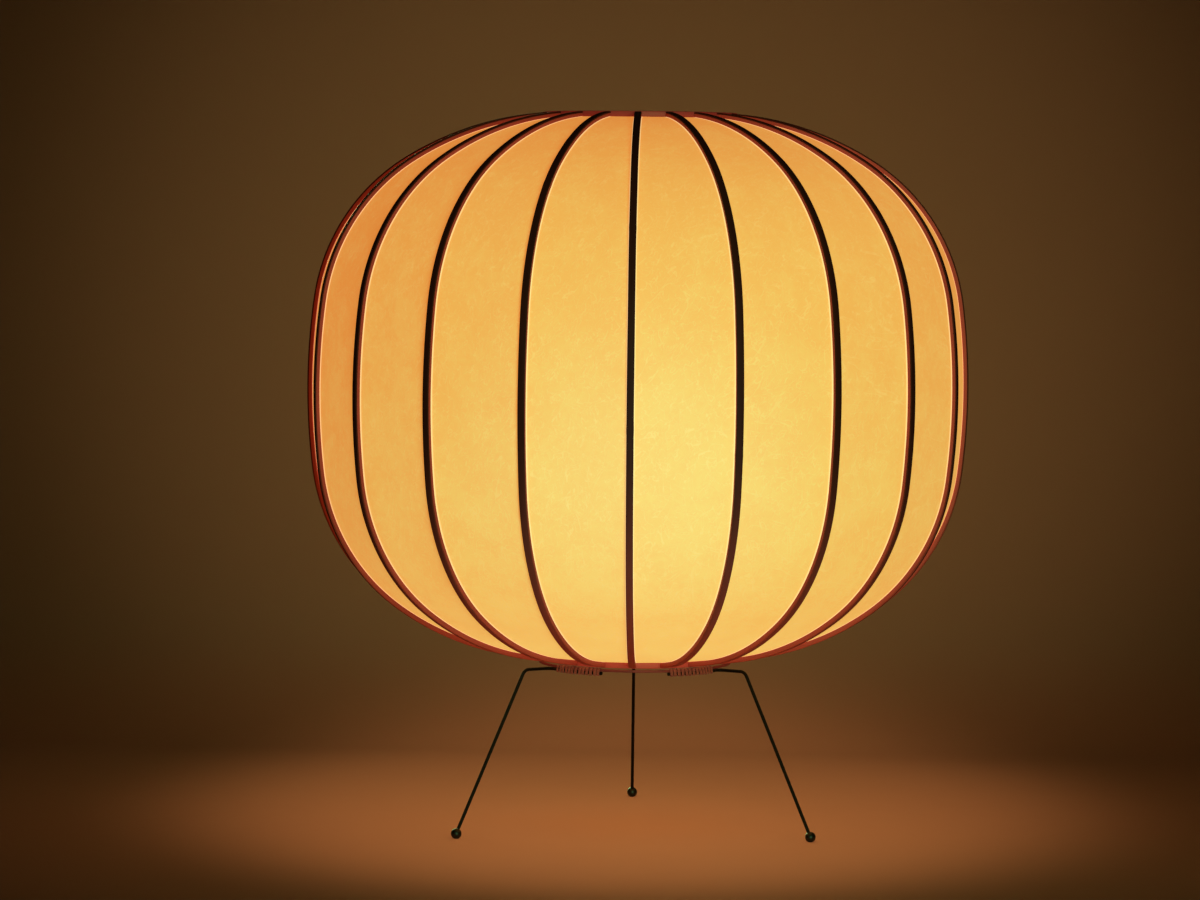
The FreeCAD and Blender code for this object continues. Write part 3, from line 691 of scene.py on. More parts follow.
class PaleFloor(Finish):
    """Pale plain floor and backdrop, painted a little warmer below and clear from behind."""

    title = "pale_floor"
    surface = Surface(roughness=0.85, specular=0.1)
    ground: Colour = (0.45, 0.32, 0.33)
    wall: Colour = (0.41, 0.38, 0.42)
    fade = 0.95
    wear_fineness = 0.02
    wear_amount = 0.2
    warm_below = 0.12

    def dress(self) -> None:
        """Barely uneven paint."""
        board = self.board
        wear = self.wear()
        up = board.span(board.axis(self.places["Object"], "Z"), 0.0, self.warm_below)
        faded = [tuple(self.fade * part for part in paint) for paint in (self.ground, self.wall)]
        board.feed(self.shader, Base_Color=board.blend(
            wear["Height"], board.blend(up, *faded), board.blend(up, self.ground, self.wall)))
        clear = board.add("ShaderNodeBsdfTransparent").outputs[0]
        behind = board.add("ShaderNodeNewGeometry").outputs["Backfacing"]
        mix = board.work("ShaderNodeMixShader", (behind, self.shader.outputs[0], clear))
        outlet = next(node for node in board.tree.nodes if node.type == "OUTPUT_MATERIAL")
        board.feed(outlet, Surface=mix[0])


class Finishes:
    """Every finish of the lamp and its setting, made once."""

    def __init__(self) -> None:
        """Build the shared effects, then the finishes."""
        effects = Effects()
        self.skin, self.side, self.hoop, self.low_hoop, self.ring = (
            kind(effects).material
            for kind in (StainedSkin, SplitSide, HoopCane, LowHoopCane, RingCane))
        self.paper, self.paper_back, self.cord, self.opal, self.floor = (
            kind(effects).material
            for kind in (WashiPaper, WashiBack, WaxedCord, OpalGlobe, PaleFloor))
        (self.lacquer, self.ball, self.zinc, self.moulded, self.brass, self.bulb_metal,
         self.insulator) = (
            Worn(effects, look).material
            for look in (LACQUER, BALL, ZINC, MOULDED, BRASS, BULB_METAL, INSULATOR))


# ---- Meshes ----


@dataclass
class Weave:
    """A mesh grown as rings of as many points, with a UV map in metres round and along.

    Rings that aren't closed make a sheet. Ends get a face each unless the rings make a loop.
    Places, where given, are the points' own places in the UV map.
    """

    rings: list[list[Vector]]
    places: Sequence[Section] = ()
    closed: bool = True
    loop: bool = False
    edge_slots: Sequence[int] = ()
    sharp_angle: float = 40.0

    def mesh(self, name: str) -> Mesh:
        """Turn the rings into a mesh.

        Args:
            name: the mesh's name.

        Returns:
            The mesh, smooth except at sharp edges.
        """
        net = bmesh.new()
        layer = net.loops.layers.uv.new("UVMap")
        grid = [[net.verts.new(point) for point in ring] for ring in self.rings]
        sides = len(grid[0]) if self.closed else len(grid[0]) - 1
        around = [0.0]
        first = self.rings[0]
        for index in range(sides):
            around.append(around[-1] + (first[(index + 1) % len(first)] - first[index]).length)
        along = 0.0
        spans = list(zip(grid, grid[1:] + grid[:1] if self.loop else grid[1:]))
        for row, (low, high) in enumerate(spans):
            reach = along + (high[0].co - low[0].co).length
            for index in range(sides):
                after = (index + 1) % len(low)
                face = net.faces.new((low[index], low[after], high[after], high[index]))
                corners = ((around[index], along), (around[index + 1], along),
                           (around[index + 1], reach), (around[index], reach))
                if self.places:
                    corners = (self.places[row][index], self.places[row][after],
                               self.places[row + 1][after], self.places[row + 1][index])
                for loop, place in zip(face.loops, corners):
                    loop[layer].uv = place
                face.material_index = self.edge_slots[index] if self.edge_slots else 0
                face.smooth = True
            along = reach
        if self.closed and not self.loop:
            for ring in (grid[0][::-1], grid[-1]):
                for loop in net.faces.new(ring).loops:
                    loop[layer].uv = (loop.vert.co.x, loop.vert.co.z)
        if self.closed:
            bmesh.ops.recalc_face_normals(net, faces=net.faces)
        mesh = bpy.data.meshes.new(name)
        net.to_mesh(mesh)
        net.free()
        mesh.set_sharp_from_angle(angle=radians(self.sharp_angle))
        return mesh


def steps(count: int) -> list[float]:
    """Shares from 0 to 1 in equal steps, one more than the count."""
    return [step / count for step in range(count + 1)]


def turns(count: int) -> list[float]:
    """Angles of as many even places round a circle."""
    return [2 * pi * step / count for step in range(count)]


def arc(radius: float, height: float, low: float, count: int) -> Section:
    """Outline of a ball from an angle above its equator up to just under its top.

    Args:
        radius: the ball's radius.
        height: height of its centre.
        low: the angle in radians.
        count: number of points.

    Returns:
        The (radius, height) points.
    """
    return [(radius * cos(lean), height + radius * sin(lean))
            for lean in (low + (pi / 2 - low) * share for share in steps(count)[:-1])]


def lathe(outline: Section, segments: int, x: float = 0.0, y: float = 0.0,
          wave: Callable[[float, float], float] | None = None) -> Weave:
    """Rings about an upright axis through (radius, height) points.

    Args:
        outline: the points, end to end.
        segments: points in each ring.
        x: place of the axis across.
        y: place of the axis in depth.
        wave: added to a radius at a turn and a height.

    Returns:
        The rings.
    """
    rings = []
    for radius, height in outline:
        ring = []
        for turn in turns(segments):
            reach = radius + (wave(turn, height) if wave else 0.0)
            ring.append(Vector((x + reach * cos(turn), y + reach * sin(turn), height)))
        rings.append(ring)
    return Weave(rings)


def rounded_box(width: float, height: float, round_off: float) -> Section:
    """Corners of a rectangle with rounded corners, about its middle.

    Args:
        width: size across.
        height: size up.
        round_off: radius of the corners, each in three straight bits.

    Returns:
        The (across, up) points.
    """
    points = []
    for quarter, (x, y) in enumerate(((1, 1), (-1, 1), (-1, -1), (1, -1))):
        for share in steps(3):
            turn = (quarter + share) * pi / 2
            points.append((x * (width / 2 - round_off) + round_off * cos(turn),
                           y * (height / 2 - round_off) + round_off * sin(turn)))
    return points


def tube(points: Sequence[Vector], radius: float, sides: int,
         outward: Sequence[Vector] = (), flat: float = 1.0) -> Weave:
    """Round or flattened tube along a smooth line, with blunt ends.

    Args:
        points: the middle line.
        radius: the tube's radius, or half of a flattened tube's thickness.
        sides: points in each ring.
        outward: way in which a flattened tube is thin, at each point.
        flat: width of a flattened tube over its thickness.

    Returns:
        The rings.
    """
    ways = []
    for index in range(len(points)):
        before, after = points[max(index - 1, 0)], points[min(index + 1, len(points) - 1)]
        ways.append((after - before).normalized())
    side = ways[0].orthogonal().normalized()
    rings = []
    for index, (point, way) in enumerate(zip(points, ways)):
        side = outward[index] if outward else side
        side = (side - way * side.dot(way)).normalized()
        up = way.cross(side) * flat
        rings.append([point + (side * cos(turn) + up * sin(turn)) * radius
                      for turn in turns(sides)])
    blunt = 0.45
    for end, way, point in ((0, -ways[0], points[0]), (-1, ways[-1], points[-1])):
        tips = [[point + way * (radius * blunt * sin(lean))
                 + (corner - point) * (1 - blunt * (1 - cos(lean))) for corner in rings[end]]
                for lean in (pi / 6, pi / 3, pi / 2)]
        rings = rings + tips if end else tips[::-1] + rings
    return Weave(rings)


def place_mesh(name: str, weave: Weave, materials: Sequence[Material]) -> Object:
    """Put a mesh into the scene.

    Args:
        name: the object's name.
        weave: its rings.
        materials: its materials, in the order of its slots.

    Returns:
        The object.
    """
    mesh = weave.mesh(name)
    for material in materials:
        mesh.materials.append(material)
    thing = bpy.data.objects.new(name, mesh)
    bpy.context.scene.collection.objects.link(thing)
    return thing


class Maker:
    """Turns meshes into named pieces that ride on bodies of the frame."""

    def __init__(self) -> None:
        """Start with no pieces."""
        self.count = 0

    def piece(self, name: str, weave: Weave, materials: Sequence[Material],
              stands_for: str, body: Body = Body.LAMP) -> None:
        """Make a piece.

        Args:
            name: the piece's name.
            weave: its rings.
            materials: its materials, in the order of its slots.
            stands_for: the CAD node that it replaces, alone or with other pieces.
            body: the body that it rides on.
        """
        thing = place_mesh(name, weave, materials)
        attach(thing, body.value)
        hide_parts(stands_for)
        self.count += 1
        LOG.info("%s: %d faces on %s, for %s", name, len(thing.data.polygons), body.value,
                 stands_for)


# ---- Shade ----


@dataclass(frozen=True)
class Place:
    """A place on the shade's outline: distance from the axis, height and outward normal."""

    reach: float
    height: float
    normal: tuple[float, float]


@dataclass
class ShadeOutline:
    """The chain of tangent arcs that the outer faces of the ribs follow."""

    radius: float = 0.300
    belly_height: float = 0.399
    belly_curve: float = 0.5956
    upper: Section = ((0.5956, 7.73), (0.1797, 50.0), (0.2747, 26.4))
    lower: Section = ((0.5956, 7.07), (0.1793, 46.6), (0.2500, 28.33))
    seat: float = 0.08805
    step: float = radians(0.5)

    def half(self, way: int, turns: Section, depth: float, stop: float) -> list[Place]:
        """Places from the belly up or down to a distance from the axis.

        Args:
            way: 1 for up, -1 for down.
            turns: radius and turn in degrees of each arc.
            depth: how far inside the ribs' outer faces.
            stop: distance from the axis where the row ends.

        Returns:
            The places, from the belly.
        """
        curve, x, z, turned = self.belly_curve, self.radius - self.belly_curve, 0.0, 0.0
        line = []
        for following, turn in turns:
            x += (curve - following) * cos(turned)
            z += (curve - following) * sin(turned)
            curve = following
            for share in steps(max(2, round(radians(turn) / self.step))):
                lean = turned + radians(turn) * share
                line.append((x + (curve - depth) * cos(lean), z + (curve - depth) * sin(lean),
                             lean))
            turned += radians(turn)
        reach, rise, lean = line[-1]
        run = (reach - self.seat) / sin(lean)
        line += [(reach - run * share * sin(lean), rise + run * share * cos(lean), lean)
                 for share in steps(4)[1:]]
        kept = [place for place in line if place[0] >= stop]
        reach, rise, lean = kept[-1]
        if len(kept) < len(line):
            beyond, further, _ = line[len(kept)]
            rise += (further - rise) * (reach - stop) / (reach - beyond)
        return [Place(reach, self.belly_height + way * rise, (cos(lean), way * sin(lean)))
                for reach, rise, lean in kept + [(stop, rise, lean)]]

    def even(self, depth: float, stop: float, count: int) -> list[Place]:
        """Evenly spaced places from the top to the bottom.

        Args:
            depth: how far inside the ribs' outer faces.
            stop: distance from the axis where the row starts and ends.
            count: how many steps to make.

        Returns:
            The places, one more than the steps.
        """
        kept = (self.half(1, self.upper, depth, stop)[::-1]
                + self.half(-1, self.lower, depth, stop)[1:])
        lengths = [0.0]
        for before, after in zip(kept, kept[1:]):
            lengths.append(lengths[-1] + hypot(after.reach - before.reach,
                                               after.height - before.height))
        result, cursor = [], 0
        for share in steps(count):
            target = lengths[-1] * share
            while cursor < len(kept) - 2 and lengths[cursor + 1] < target:
                cursor += 1
            span = max(lengths[cursor + 1] - lengths[cursor], TINY)
            part = min(1.0, (target - lengths[cursor]) / span)
            before, after = kept[cursor], kept[cursor + 1]
            mix = [a + (b - a) * part for a, b in zip(
                (before.reach, before.height, *before.normal),
                (after.reach, after.height, *after.normal))]
            scale = hypot(mix[2], mix[3])
            result.append(Place(mix[0], mix[1], (mix[2] / scale, mix[3] / scale)))
        return result


def facing(azimuth: float) -> tuple[Vector, Vector]:
    """The way out from the axis at an azimuth, and the level way across it."""
    return Vector((sin(azimuth), -cos(azimuth), 0)), Vector((cos(azimuth), sin(azimuth), 0))


@dataclass
class Shade:
    """Ribs, paper gores, the two hoops and the carrier ring."""

    outline: ShadeOutline = field(default_factory=ShadeOutline)
    rib_count: int = 20
    rib_width: float = 6.2 * MM
    rib_depth: float = 4.4 * MM
    rib_round: float = 0.55 * MM
    stain_wrap: float = 0.8 * MM
    rib_rows: int = 130
    paste_and_rib_band: float = 0.1 * MM
    paper_thickness: float = 0.35 * MM
    paper_rows: int = 110
    paper_columns: int = 14
    paper_reach: float = 88.2 * MM
    paper_gap: float = 0.15 * MM
    paper_slack: float = 0.35 * MM
    slack_waves: float = 9.0
    knots_from: float = 0.25
    knots_over: float = 0.4
    knot_swell: float = 0.05
    knot_length: float = 0.006
    rib_drift: float = 0.12 * MM
    drift_waves: float = 9.0
    rib_uneven: float = 0.018
    uneven_waves: float = 14.0
    hoop_width: float = 3.0 * MM
    ring_width: float = 2.2 * MM
    hoop_round: float = 0.5 * MM
    hoop_ripple: float = 0.06 * MM
    ripple_waves: float = 6.0
    hoop_segments: int = 180

    def rib(self, index: int) -> Weave:
        """One split bamboo rib, a little uneven, with the swelling of a node or two.

        Args:
            index: which rib, from the front towards +X.

        Returns:
            Its rings, the skin in slot 0 and the sides in slot 1.
        """
        out, across = facing(2 * pi * index / self.rib_count)
        stain_edge = self.rib_depth / 2 - self.rib_round - self.stain_wrap
        box = rounded_box(self.rib_width, self.rib_depth, self.rib_round)
        half, side = len(box) // 2, self.rib_width / 2
        section = [*box[:half], (-side, stain_edge), *box[half:], (side, stain_edge)]
        knots = [self.knots_from
                 + self.knots_over * noise.cell(Vector((index + 0.5, place, 7.5)))
                 for place in (0.5, 3.5)]
        rings = []
        seat = self.outline.seat
        places = self.outline.even(self.rib_depth / 2, seat, self.rib_rows)
        for share, place in zip(steps(self.rib_rows), places):
            swell = self.knot_swell * sum(
                max(0.0, 1 - ((share - knot) / self.knot_length) ** 2) for knot in knots)
            drift = self.rib_drift * noise.noise(
                Vector((share * self.drift_waves, index * 3.7, 0)))
            grow = 1 + swell + self.rib_uneven * noise.noise(
                Vector((share * self.uneven_waves, index * 1.3, 5)))
            ring = []
            for aside, up in section:
                reach = max(place.reach + up * place.normal[0], seat)
                height = place.height + up * place.normal[1]
                ring.append(out * reach + across * (aside * grow + drift)
                            + Vector((0, 0, height)))
            rings.append(ring)
        slots = [0 if min(up, section[(edge + 1) % len(section)][1]) >= stain_edge else 1
                 for edge, (_, up) in enumerate(section)]
        return Weave(rings, edge_slots=slots, sharp_angle=50.0)

    def gore(self, index: int) -> Weave:
        """One paper gore, straight from rib to rib and curved down the shade.

        Args:
            index: which gore, the first between the first two ribs.

        Returns:
            Its rings, the outside in slot 0 and the inside in slot 1.
        """
        half = pi / self.rib_count
        out, across = facing(2 * half * (index + 0.5))
        strip = [2 * share - 1 for share in steps(self.paper_columns)]
        faces = []
        for inside in (0.0, self.paper_thickness):
            lines = []
            for share in strip:
                depth = self.rib_depth + self.paste_and_rib_band + inside
                reach = self.paper_reach * cos(share * half) / cos(half)
                line = []
                for place in self.outline.even(depth, reach, self.paper_rows):
                    wide = place.reach * sin(half) - self.paper_gap
                    slack = self.paper_slack * (1 - share * share) * noise.noise(
                        Vector((index * 2.3, place.height * self.slack_waves, share * 1.5)))
                    line.append((out * (place.reach * cos(half) - slack)
                                 + across * (wide * share) + Vector((0, 0, place.height)),
                                 wide * (1 - abs(share))))
                lines.append(line)
            faces.append(lines)
        lines = faces[0] + faces[1][::-1]
        rows = range(self.paper_rows + 1)
        rings = [[line[row][0] for line in lines] for row in rows]
        places = [[(line[row][1], ring[0].z) for line in lines]
                  for row, ring in zip(rows, rings)]
        slots = [0] * (self.paper_columns + 1) + [1] * self.paper_columns + [0]
        return Weave(rings, places, edge_slots=slots, sharp_angle=60.0)

    def hoop(self, node: str) -> Weave:
        """A bent bamboo hoop in the place of a CAD hoop, with slightly uneven faces.

        Args:
            node: the CAD hoop that it stands for.

        Returns:
            Its rings, closed to a loop.
        """
        low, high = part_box(node)
        radius = (high.x - low.x) / 2
        width = self.ring_width if node == "carrier_ring" else self.hoop_width
        section = rounded_box(width, high.z - low.z, min(self.hoop_round, width / 4))
        middle = (low.z + high.z) / 2
        rings = []
        for turn in turns(self.hoop_segments):
            way = facing(turn)[0]
            ripple = self.hoop_ripple * noise.noise(
                way * self.ripple_waves + Vector((0, 0, low.z * 40)))
            rings.append([way * (radius - width / 2 + x) + Vector((0, 0, middle + z + ripple))
                          for x, z in section])
        return Weave(rings, loop=True, sharp_angle=50.0)

    def build(self, maker: Maker, finishes: Finishes) -> None:
        """Make the shade's pieces.

        Args:
            maker: makes the pieces.
            finishes: the finishes.
        """
        for index in range(self.rib_count):
            number = f"{index + 1:02d}"
            maker.piece(f"bamboo_rib_{number}", self.rib(index),
                        (finishes.skin, finishes.side), f"rib_{number}")
            maker.piece(f"washi_gore_{number}", self.gore(index),
                        (finishes.paper, finishes.paper_back),
                        f"paper_gore_{number}")
        # hoop stains with a painted glow; painted light on the bottom hoop, painted shade on the
        # carrier ring
        for node, hoop_look in (("top_hoop", finishes.hoop), ("bottom_hoop", finishes.low_hoop),
                            ("carrier_ring", finishes.ring)):
            maker.piece(f"bent_{node}", self.hoop(node), (hoop_look,), node)


# ---- Tripod ----


class Leg(Enum):
    """Azimuth in degrees of each leg, and the way that its arm runs round the ring."""

    LEFT = (-60.0, 1)
    RIGHT = (60.0, -1)
    REAR = (180.0, 1)


@dataclass
class Tripod:
    """Leg wires, ball feet and the cord lashings that hold them under the bottom hoop."""

    wire: float = 1.5 * MM
    wire_sides: int = 24
    turn: float = 1.4
    spread: float = 182.5 * MM
    bend_reach: float = 114.0 * MM
    bend_radius: float = 7.0 * MM
    ring_radius: float = 86.7 * MM
    corner_radius: float = 6.0 * MM
    arm_sweep: float = radians(40.0)
    ball: float = 4.8 * MM
    ball_segments: int = 40
    flat: float = 2.2 * MM
    past_centre: float = 1.0 * MM
    stack_half: float = 2.75 * MM
    cord: float = 0.42 * MM
    cord_flat: float = 3.3
    cord_sides: int = 12
    coil_wide: float = 2.05 * MM
    coil_tall: float = 3.25 * MM
    coil_turns: float = 12.5
    coil_points: int = 40
    coil_uneven: float = 0.012
    coil_start: float = radians(8.0)
    coil_sweep: float = radians(31.0)

    def wire_height(self) -> float:
        """Height of the wire's middle line under the ring."""
        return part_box("leg_left")[1].z - self.wire

    def ball_centre(self) -> Vector:
        """Centre of the ball foot of a leg along +X."""
        return Vector((self.spread, 0, sqrt(self.ball ** 2 - self.flat ** 2)))

    def path(self, way: int) -> list[Vector]:
        """Middle line of a leg along +X, from its foot to the end of its arm.

        Args:
            way: 1 or -1, the way that the arm turns.

        Returns:
            Its points.
        """
        height, bend, ring, corner = (self.wire_height(), self.bend_radius, self.ring_radius,
                                      self.corner_radius)
        crook = Vector((self.bend_reach, 0, height))
        ball = self.ball_centre()
        down = (ball - crook).normalized()
        lean = atan2(-down.z, down.x)
        setback = bend * tan(lean / 2)
        knee = crook + down * setback
        centre = Vector((crook.x - setback, 0, height - bend))
        lead = acos(sqrt(1 - (corner / (ring + corner)) ** 2))
        foot = ball + down * self.past_centre
        points = [foot.lerp(knee, share) for share in steps(12)[:-1]]
        points += [centre + Vector((sin(lean * (1 - share)), 0, cos(lean * (1 - share)))) * bend
                   for share in steps(10)]
        start = Vector(((ring + corner) * cos(lead), 0, height))
        shoulder = points[-1]
        points += [shoulder.lerp(start, share) for share in steps(4)[1:-1]]
        hub = start + Vector((0, way * corner, 0))
        sweep = pi / 2 - lead
        points += [hub + Vector((-sin(sweep * share), -way * cos(sweep * share), 0)) * corner
                   for share in steps(10)]
        for share in steps(24)[1:]:
            angle = lead + (self.arm_sweep - lead) * share
            points.append(Vector((ring * cos(angle), way * ring * sin(angle), height)))
        return points

    def coil(self, way: int) -> tuple[list[Vector], list[Vector]]:
        """Flat cord wound round the ring and an arm along +X.

        Args:
            way: 1 or -1, the way that the arm turns.

        Returns:
            Its middle line, and the way out from the wire at each point.
        """
        middle = self.wire_height() - self.wire + self.stack_half
        points, outward = [], []
        for share in steps(round(self.coil_turns * self.coil_points)):
            turn = -pi / 2 + 2 * pi * self.coil_turns * share
            uneven = self.coil_uneven * noise.noise(Vector((share * 23, way * 3.1, 1)))
            place = self.coil_start + self.coil_sweep * share + uneven
            c, s = cos(turn), sin(turn)
            size = (c ** 4 + s ** 4) ** -0.25
            reach = self.ring_radius + self.coil_wide * c * size
            points.append(Vector((reach * cos(place), way * reach * sin(place),
                                  middle + self.coil_tall * s * size)))
            outward.append(Vector((c * cos(place), way * c * sin(place), s)))
        return points, outward

    def foot(self, centre: Vector) -> Weave:
        """Ball foot, flat where it stands.

        Args:
            centre: the ball's centre.

        Returns:
            Its rings.
        """
        low = -acos(self.flat / self.ball)
        outline = [(self.flat * 0.5, 0.0), *arc(self.ball, centre.z, low, 24)]
        return lathe(outline, self.ball_segments, centre.x, centre.y)

    def build(self, maker: Maker, finishes: Finishes) -> None:
        """Make the tripod's pieces.

        Args:
            maker: makes the pieces.
            finishes: the finishes.
        """
        for leg in Leg:
            azimuth, way = leg.value
            name = leg.name.lower()
            turned = Matrix.Rotation(radians(azimuth + self.turn - 90), 4, "Z")
            path = [turned @ point for point in self.path(way)]
            maker.piece(f"wire_leg_{name}", tube(path, self.wire, self.wire_sides),
                        (finishes.lacquer,), f"leg_{name}")
            maker.piece(f"ball_foot_{name}", self.foot(turned @ self.ball_centre()),
                        (finishes.ball,), "feet")
            coil, outward = ([turned @ vector for vector in line] for line in self.coil(way))
            maker.piece(f"cord_lashing_{name}",
                        tube(coil, self.cord, self.cord_sides, outward, self.cord_flat),
                        (finishes.cord,), "leg_lashings")


# ---- Lampholder and bulb ----


@dataclass
class Lampholder:
    """The strap, stem and lampholder, which stay as in the frame, in their finishes."""

    zinc: Sequence[str] = ("holder_bridge", "bridge_screws", "stem", "lock_nuts")
    moulded: Sequence[str] = ("holder_cap", "holder_skirt", "inlet_bush")
    brass: Sequence[str] = ("screw_socket", "centre_contact")

    def build(self, frame: dict, finishes: Finishes) -> None:
        """Give every slot of each node its finish.

        Args:
            finishes: the finishes.
        """
        for nodes, material in ((self.zinc, finishes.zinc), (self.moulded, finishes.moulded),
                                (self.brass, finishes.brass)):
            for node in nodes:
                for slot in frame["nodes"][node].material_slots:
                    slot.material = material
                LOG.info("%s: kept from the frame, in %s", node, material.name)


@dataclass
class Bulb:
    """Screw-cap bulb: button and insulator, rolled cap and opal globe."""

    globe_radius: float = 30.0 * MM
    neck_radius: float = 13.8 * MM
    neck_ease: float = 2.0 * MM
    shoulder_angle: float = radians(40.0)
    cap_radius: float = 13.2 * MM
    thread_depth: float = 0.9 * MM
    thread_pitch: float = 3.63 * MM
    thread_start: float = 3.0 * MM
    thread_end: float = 4.0 * MM
    bevel_width: float = 3.2 * MM
    bevel_height: float = 2.5 * MM
    button_radius: float = 4.5 * MM
    button_round: float = 0.6 * MM
    button_height: float = 1.2 * MM
    button_segments: int = 48
    insulator_radius: float = 9.0 * MM
    insulator_slope: float = 1.0 * MM
    segments: int = 72

    def globe(self) -> Weave:
        """Neck, shoulder and globe in one smooth turn."""
        low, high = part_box("bulb_globe")
        middle = high.z - self.globe_radius
        leave = -self.shoulder_angle
        x, z = self.globe_radius * cos(leave), middle + self.globe_radius * sin(leave)
        neck_top = z - (x - self.neck_radius) / tan(self.shoulder_angle)
        outline = [(self.neck_radius * 0.6, low.z), (self.neck_radius, low.z)]
        start = Vector((self.neck_radius, neck_top - self.neck_ease))
        bend = Vector((self.neck_radius, neck_top + self.neck_ease / 2))
        end = Vector((x, z))
        for share in steps(12):
            point = start.lerp(bend, share).lerp(bend.lerp(end, share), share)
            outline.append((point.x, point.y))
        outline += arc(self.globe_radius, middle, leave, 30)[1:]
        return lathe(outline, self.segments)

    def cap(self) -> Weave:
        """Rolled cap with a real screw thread."""
        low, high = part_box("bulb_cap")
        base, top = low.z, high.z

        def thread(turn: float, height: float) -> float:
            """Depth of the thread at a turn and height, fading at both ends."""
            fade = min(1.0, (height - base) / self.thread_start,
                       (top - height) / self.thread_end)
            wave = 0.5 + 0.5 * cos(2 * pi * height / self.thread_pitch - turn)
            return -self.thread_depth * wave * max(fade, 0.0)

        outline = [(self.insulator_radius, base)]
        for share in steps(90):
            height = base + (top - base) * share
            bevel = self.bevel_width * max(0.0, 1 - (height - base) / self.bevel_height)
            outline.append((self.cap_radius - bevel, height))
        return lathe(outline, self.segments, wave=thread)

    def contact(self) -> Weave:
        """Insulator below the cap, with the contact button under it."""
        low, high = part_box("bulb_contact")
        button, disc = self.button_radius, self.insulator_radius
        rim, shelf = low.z + self.button_round, low.z + self.button_height
        outline = [(button * 0.35, low.z), (button * 0.8, low.z + self.button_round / 6),
                   (button, rim), (button, shelf), (disc * 0.7, shelf),
                   (disc, shelf + self.insulator_slope), (disc, high.z)]
        return lathe(outline, self.button_segments)

    def build(self, maker: Maker, finishes: Finishes) -> None:
        """Make the bulb's pieces.

        Args:
            maker: makes the pieces.
            finishes: the finishes.
        """
        maker.piece("opal_globe", self.globe(), (finishes.opal,), "bulb_globe",
                    Body.BULB)
        maker.piece("screw_cap", self.cap(), (finishes.bulb_metal,),
                    "bulb_cap", Body.BULB)
        maker.piece("cap_insulator", self.contact(), (finishes.insulator,),
                    "bulb_contact", Body.TRAVEL)


# ---- Setting ----


class Lit(Enum):
    """What a soft light falls on."""

    LAMP = "lamp"
    BACKDROP = "backdrop"


@dataclass(frozen=True)
class SoftLight:
    """Soft light: an area, or a spot with a cone in degrees from its axis."""

    name: str
    lit: Lit
    place: tuple[float, float, float]
    target: tuple[float, float, float]
    power: float
    colour: Colour
    own_shadows: bool = True
    size: float = 1.0
    cone: float = 0.0
    blend: float = 1.0
    softness: float = 0.08

    def hang(self) -> Object:
        """Make the light, which faces its target and doesn't show itself.

        Returns:
            The light.
        """
        data = bpy.data.lights.new(self.name, "SPOT" if self.cone else "AREA")
        data.energy, data.color = self.power, self.colour
        if self.cone:
            data.spot_size, data.spot_blend = 2 * radians(self.cone), self.blend
            data.shadow_soft_size = self.softness
        else:
            data.size = self.size
        thing = bpy.data.objects.new(self.name, data)
        thing.location = self.place
        way = Vector(self.target) - Vector(self.place)
        thing.rotation_euler = way.to_track_quat("-Z", "Y").to_euler()
        thing.visible_camera = False
        bpy.context.scene.collection.objects.link(thing)
        return thing


LIGHTS = (
    SoftLight("front_soft", Lit.LAMP, (0.62, -2.9, 0.5), (0.0, 0.0, 0.38), 36.0,
              (0.48, 1.0, 0.40), own_shadows=False),
    SoftLight("belly_soft", Lit.LAMP, (0.45, -2.85, 0.42), (0.016, -0.29, 0.325), 54.0,
              (0.34, 0.98, 0.95), own_shadows=False, cone=3.9),
    SoftLight("rear_soft", Lit.LAMP, (-0.62, 2.9, 0.5), (0.0, 0.0, 0.38), 36.0,
              (0.48, 1.0, 0.40)),
    SoftLight("floor_pool", Lit.BACKDROP, (0.0, -1.85, 2.3), (0.0, 0.08, 0.0), 166.0,
              (1.0, 0.43, 0.125), cone=9.3, blend=0.75),
    SoftLight("wall_halo", Lit.BACKDROP, (0.0, -3.0, 0.62), (0.0, 0.72, 0.47), 66.0,
              (1.0, 0.50, 0.15), cone=12.0),
)


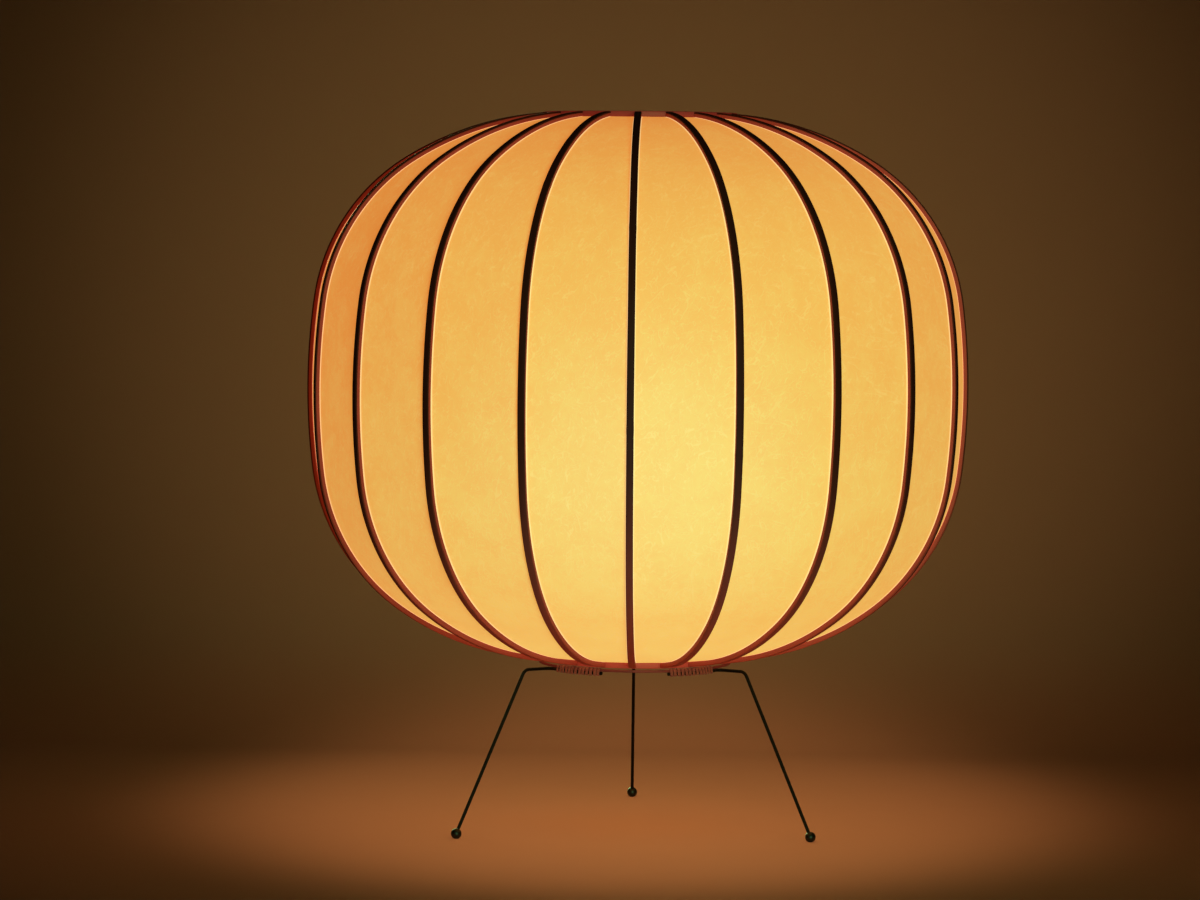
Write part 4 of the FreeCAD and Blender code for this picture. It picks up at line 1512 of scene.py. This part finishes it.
@dataclass
class Setting:
    """Pale floor and backdrop, soft light and the camera."""

    floor_half_width: float = 8.0
    floor_front: float = -12.0
    floor_middle: float = -1.0
    floor_back: float = 12.0
    wall_back: float = 0.72
    cove_radius: float = 0.22
    wall_height: float = 3.0
    image_width: int = 1200
    focal_pixels: float = 4284.065
    sensor: float = 36.0
    clip: tuple[float, float] = (0.05, 60.0)
    camera_place: tuple[float, float, float] = (0.0737, -3.8850, 0.58318)
    pan: float = 0.027531729
    pitch: float = -0.06176
    roll: float = -0.00960
    ambient: Colour = (0.0028, 0.0022, 0.0013)
    lights: Sequence[SoftLight] = LIGHTS

    def sheet(self, name: str, outline: Section, material: Material) -> Object:
        """Wide sheet of the setting, drawn across an outline.

        Args:
            name: the sheet's name.
            outline: its (depth, height) points, from the front.
            material: its finish.

        Returns:
            The sheet.
        """
        rings = [[Vector((side * self.floor_half_width, y, z)) for side in (-1, 1)]
                 for y, z in outline]
        thing = place_mesh(name, Weave(rings, closed=False), (material,))
        return thing

    def ground(self, material: Material) -> list[Object]:
        """Floor that curves up into the backdrop, and the floor behind it.

        Args:
            material: the pale finish.

        Returns:
            Both sheets.
        """
        foot = self.wall_back - self.cove_radius
        cove = [(foot + self.cove_radius * sin(share * pi / 2),
                 self.cove_radius * (1 - cos(share * pi / 2))) for share in steps(24)]
        front = [(self.floor_front, 0.0), (self.floor_middle, 0.0), *cove,
                 (self.wall_back, self.wall_height)]
        return [self.sheet("floor_and_backdrop", front, material),
                self.sheet("floor_behind", [(foot, 0.0), (self.floor_back, 0.0)], material)]

    def camera(self) -> None:
        """Camera at the place and angle of the photograph."""
        data = bpy.data.cameras.new("view")
        data.sensor_fit = "HORIZONTAL"
        data.sensor_width = self.sensor
        data.lens = self.focal_pixels * self.sensor / self.image_width
        data.clip_start, data.clip_end = self.clip
        thing = bpy.data.objects.new("view", data)
        bpy.context.scene.collection.objects.link(thing)
        look = (Matrix.Rotation(self.pan, 3, "Z") @ Matrix.Rotation(self.pitch, 3, "X")
                @ Matrix.Rotation(self.roll, 3, "Y"))
        right, ahead, up = look.col
        thing.matrix_world = Matrix.Translation(self.camera_place) @ Matrix(
            (right, up, -ahead)).transposed().to_4x4()
        bpy.context.scene.camera = thing

    @staticmethod
    def only(name: str, things: Iterable[Object], state: str) -> Collection:
        """Collection for light linking.

        Args:
            name: the collection's name.
            things: its objects.
            state: INCLUDE or EXCLUDE.

        Returns:
            The collection.
        """
        group = bpy.data.collections.new(name)
        for thing in things:
            group.objects.link(thing)
        for member in group.collection_objects:
            member.light_linking.link_state = state
        return group

    def build(self, finishes: Finishes) -> None:
        """Make the setting.

        Args:
            finishes: the finishes.
        """
        ground = self.ground(finishes.floor)
        self.camera()
        linked = {Lit.LAMP: self.only("off_backdrop", ground, "EXCLUDE"),
                  Lit.BACKDROP: self.only("on_backdrop", ground, "INCLUDE")}
        for soft in self.lights:
            linking = soft.hang().light_linking
            linking.receiver_collection = linked[soft.lit]
            if soft.own_shadows:
                linking.blocker_collection = linked[soft.lit]
        world = bpy.data.worlds.new("studio")
        world.use_nodes = True
        back = next(node for node in world.node_tree.nodes if node.type == "BACKGROUND")
        back.inputs["Color"].default_value = (*self.ambient, 1.0)
        scene = bpy.context.scene
        scene.world = world
        scene.view_settings.view_transform = "Standard"
        scene.view_settings.look = "None"


def corners(box: tuple[Vector, Vector]) -> list[list[float]]:
    """A box as plain lists of numbers."""
    return [list(corner) for corner in box]


def main() -> None:
    """Build the lamp's looks on its frame, then its setting."""
    logging.basicConfig(level=logging.INFO, format="%(message)s")
    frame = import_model()
    finishes = Finishes()
    maker = Maker()
    Shade().build(maker, finishes)
    Tripod().build(maker, finishes)
    Lampholder().build(frame, finishes)
    Bulb().build(maker, finishes)
    Setting().build(finishes)
    LOG.info("%d pieces made", maker.count)


if __name__ == "__main__":
    main()
